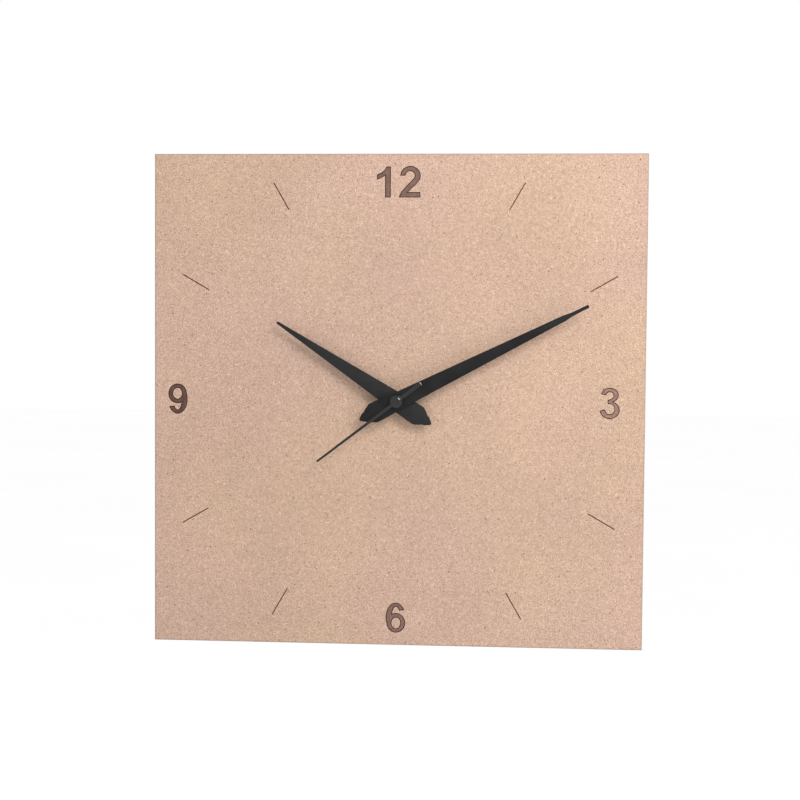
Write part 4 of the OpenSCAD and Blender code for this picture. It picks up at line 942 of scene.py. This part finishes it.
class CLOCK_OT_motor(ClockStep, bpy.types.Operator):
    """Build the wound coil, and finish the stator, core, bobbin, screws and rotor magnet"""

    bl_idname = "clock.motor"
    bl_label = "Motor"

    def execute(self, context):
        metals = context.scene.clock_metals
        iron = drawn_metal("pressed_iron", metals.iron[:], (420, 3000, 3400), 0.32, 0.5)
        finish_node("coil_core", iron)
        eased_copy("stator", "pressed", 0.06 * MM, "root", "stator_iron", iron)
        finish_node("coil_screws", lathe_metal("plated_screw", metals.steel[:], metals.groove, 0.2, 0.34))
        finish_node("rotor_magnet", bonded_magnet(metals))
        bobbin = moulded("moulded_bobbin", (0.022, 0.026, 0.032), 0.34, 0.5)
        eased_copy("coil_bobbin", "moulded", 0.08 * MM, "root", "case_plastic", bobbin)
        winding = wound_grid(*bar("coil_winding"), inner=2.22 * MM, wire=metals.wire)
        build("coil_winding_wire", winding, "root", "copper_wire", enamelled_wire(metals), "coil_winding", crease=60)
        return {"FINISHED"}


class CLOCK_OT_electrics(ClockStep, bpy.types.Operator):
    """Finish the circuit board, its chip cap and crystal, and the battery contacts"""

    bl_idname = "clock.electrics"
    bl_label = "Circuit and contacts"

    def execute(self, context):
        looks, metals = context.scene.clock_movement, context.scene.clock_metals
        finish_node("circuit_board", printed_circuit(looks))
        finish_node("chip_cap", moulded("potting_resin", (0.014, 0.014, 0.015), 0.24, 0.4, 1500.0))
        finish_node("quartz_crystal", drawn_metal("drawn_can", metals.nickel[:], (500, 4200, 4200), 0.18, 0.32))
        strip = drawn_metal("plated_strip", metals.nickel[:], (3600, 3600, 420), 0.2, 0.36)
        for node in ("negative_contact", "positive_contact"):
            eased_copy(node, "strip", 0.06 * MM, "root", "nickel", strip)
        return {"FINISHED"}


class CLOCK_OT_battery(ClockStep, bpy.types.Operator):
    """Build the battery cell with its rolled rims and sleeve, and its nub"""

    bl_idname = "clock.battery"
    bl_label = "Battery cell"

    def execute(self, context):
        metals = context.scene.clock_metals
        minus, plus, radius, middle = bar("battery_cell")
        axis = (0, middle[1], middle[2])
        r, foot, head = radius / MM, minus / MM, plus / MM
        rims = [(0, foot + 0.25), (r - 3.1, foot + 0.25), (r - 2.9, foot), (r - 1.45, foot), (r - 1.3, foot + 0.2),
                (r - 0.75, foot + 0.12), (r, foot + 0.75), (r, head - 0.75), (r - 0.75, head - 0.12),
                (r - 1.3, head - 0.25), (r - 1.6, head - 0.6), (r - 3.2, head - 0.6), (r - 3.6, head), (0, head)]
        section = eased(np.array(rims) * MM, 0.22 * MM, closed=False)
        grid = turned_grid(section, 120, axis, "x")
        sleeve = cell_sleeve(context.scene.clock_cell, metals)
        build("battery_cell_sleeved", grid, "cell", "cell_can", sleeve, "battery_cell", False)
        foot, head, edge, _ = bar("battery_nub")
        nub = eased([(0, foot), (edge, foot), (edge, head), (edge - 0.7 * MM, head),
                     (edge - 0.9 * MM, head - 0.08 * MM), (0, head - 0.08 * MM)], 0.2 * MM, closed=False)
        grid = turned_grid(nub, 72, axis, "x")
        tin = drawn_metal("stamped_nub", metals.nickel[:], (700, 2600, 2600), 0.18, 0.34)
        build("battery_nub_stamped", grid, "cell", "nickel", tin, "battery_nub", False)
        return {"FINISHED"}


class CLOCK_OT_stage(ClockStep, bpy.types.Operator):
    """Lay the pale floor, set the soft lights and place the camera"""

    bl_idname = "clock.stage"
    bl_label = "Stage"

    def execute(self, context):
        looks = context.scene.clock_stage
        low = cad_box[0].z - looks.floor_drop
        size = 14.0
        corners = [(-size, -size, low), (size, -size, low), (size, size, low), (-size, size, low)]
        mesh = bpy.data.meshes.new("studio_floor")
        mesh.from_pydata(corners, [], [(0, 1, 2, 3)])
        mesh.materials.append(studio_floor(looks))
        floor = new_object("studio_floor", mesh)
        world = bpy.data.worlds.new("even_light")
        world.use_nodes = True
        background = world.node_tree.nodes["Background"]
        background.inputs["Color"].default_value = (1, 1, 1, 1)
        background.inputs["Strength"].default_value = looks.sky
        context.scene.world = world
        context.scene.view_settings.view_transform = "Standard"
        self.lamp("key_lamp", (0.46, -0.62, 0.50), looks.key_power, looks.key_size, looks.key_size)
        self.lamp("strip_lamp", (0.64, -0.50, -0.17), looks.strip_power, 0.05, 1.06)
        self.camera(context, looks)
        return {"FINISHED"}

    @staticmethod
    def lamp(name, place, power, width, height):
        """A rectangular lamp that faces the middle of the clock."""
        light = bpy.data.lights.new(name, "AREA")
        light.shape = "RECTANGLE"
        light.energy = power
        light.size = width
        light.size_y = height
        lamp = new_object(name, light)
        lamp.location = place
        lamp.rotation_euler = (-Vector(place)).to_track_quat("-Z", "Y").to_euler()

    @staticmethod
    def camera(context, looks):
        """Looks at a point near the dial's middle from the azimuth, elevation and distance, then rolls. The axes are
        right and up across the view, turned by the roll."""
        a, e, r = looks.azimuth, looks.elevation, looks.roll
        back = Vector((sin(a) * cos(e), -cos(a) * cos(e), sin(e)))
        right = Vector((cos(a), sin(a), 0))
        up = back.cross(right)
        rolled_right = right * cos(r) + up * sin(r)
        rolled_up = up * cos(r) - right * sin(r)
        target = Vector((1.67 * MM, span("dial_board")[1], 0.70 * MM))
        lens = bpy.data.cameras.new("camera")
        lens.lens = looks.lens
        lens.sensor_width = 36
        lens.clip_start = 0.01
        camera = new_object("camera", lens)
        turned = Matrix((rolled_right, rolled_up, back)).transposed().to_4x4()
        camera.matrix_world = Matrix.Translation(target + back * looks.distance) @ turned
        context.scene.camera = camera


# ---- panel and registration

GROUPS = {
    "clock_board": BoardLooks,
    "clock_hands": HandLooks,
    "clock_metals": MetalLooks,
    "clock_movement": MovementLooks,
    "clock_cell": CellLooks,
    "clock_stage": StageLooks,
}
STEPS = (
    CLOCK_OT_stage,
    CLOCK_OT_dial_board,
    CLOCK_OT_clamping_parts,
    CLOCK_OT_hands,
    CLOCK_OT_second_hand,
    CLOCK_OT_shell,
    CLOCK_OT_setting_knob,
    CLOCK_OT_wheels,
    CLOCK_OT_motor,
    CLOCK_OT_electrics,
    CLOCK_OT_battery,
)


class CLOCK_PT_panel(bpy.types.Panel):
    """Sizes and colours of the clock, and a button for each of its steps"""

    bl_idname = "CLOCK_PT_panel"
    bl_label = "Wall Clock"
    bl_space_type = "VIEW_3D"
    bl_region_type = "UI"
    bl_category = "Wall Clock"

    def draw(self, context):
        for step in STEPS:
            self.layout.operator(step.bl_idname)
        for name, group in GROUPS.items():
            box = self.layout.box()
            for prop in group.__annotations__:
                box.prop(getattr(context.scene, name), prop)


def register():
    for group in (*GROUPS.values(), *STEPS, CLOCK_PT_panel):
        bpy.utils.register_class(group)
    for name, group in GROUPS.items():
        setattr(bpy.types.Scene, name, PointerProperty(type=group))


def unregister():
    for name in GROUPS:
        delattr(bpy.types.Scene, name)
    for group in reversed((*GROUPS.values(), *STEPS, CLOCK_PT_panel)):
        bpy.utils.unregister_class(group)


def main():
    register()
    for step in STEPS:
        family, name = step.bl_idname.split(".")
        getattr(getattr(bpy.ops, family), name)()


if __name__ == "__main__":
    main()
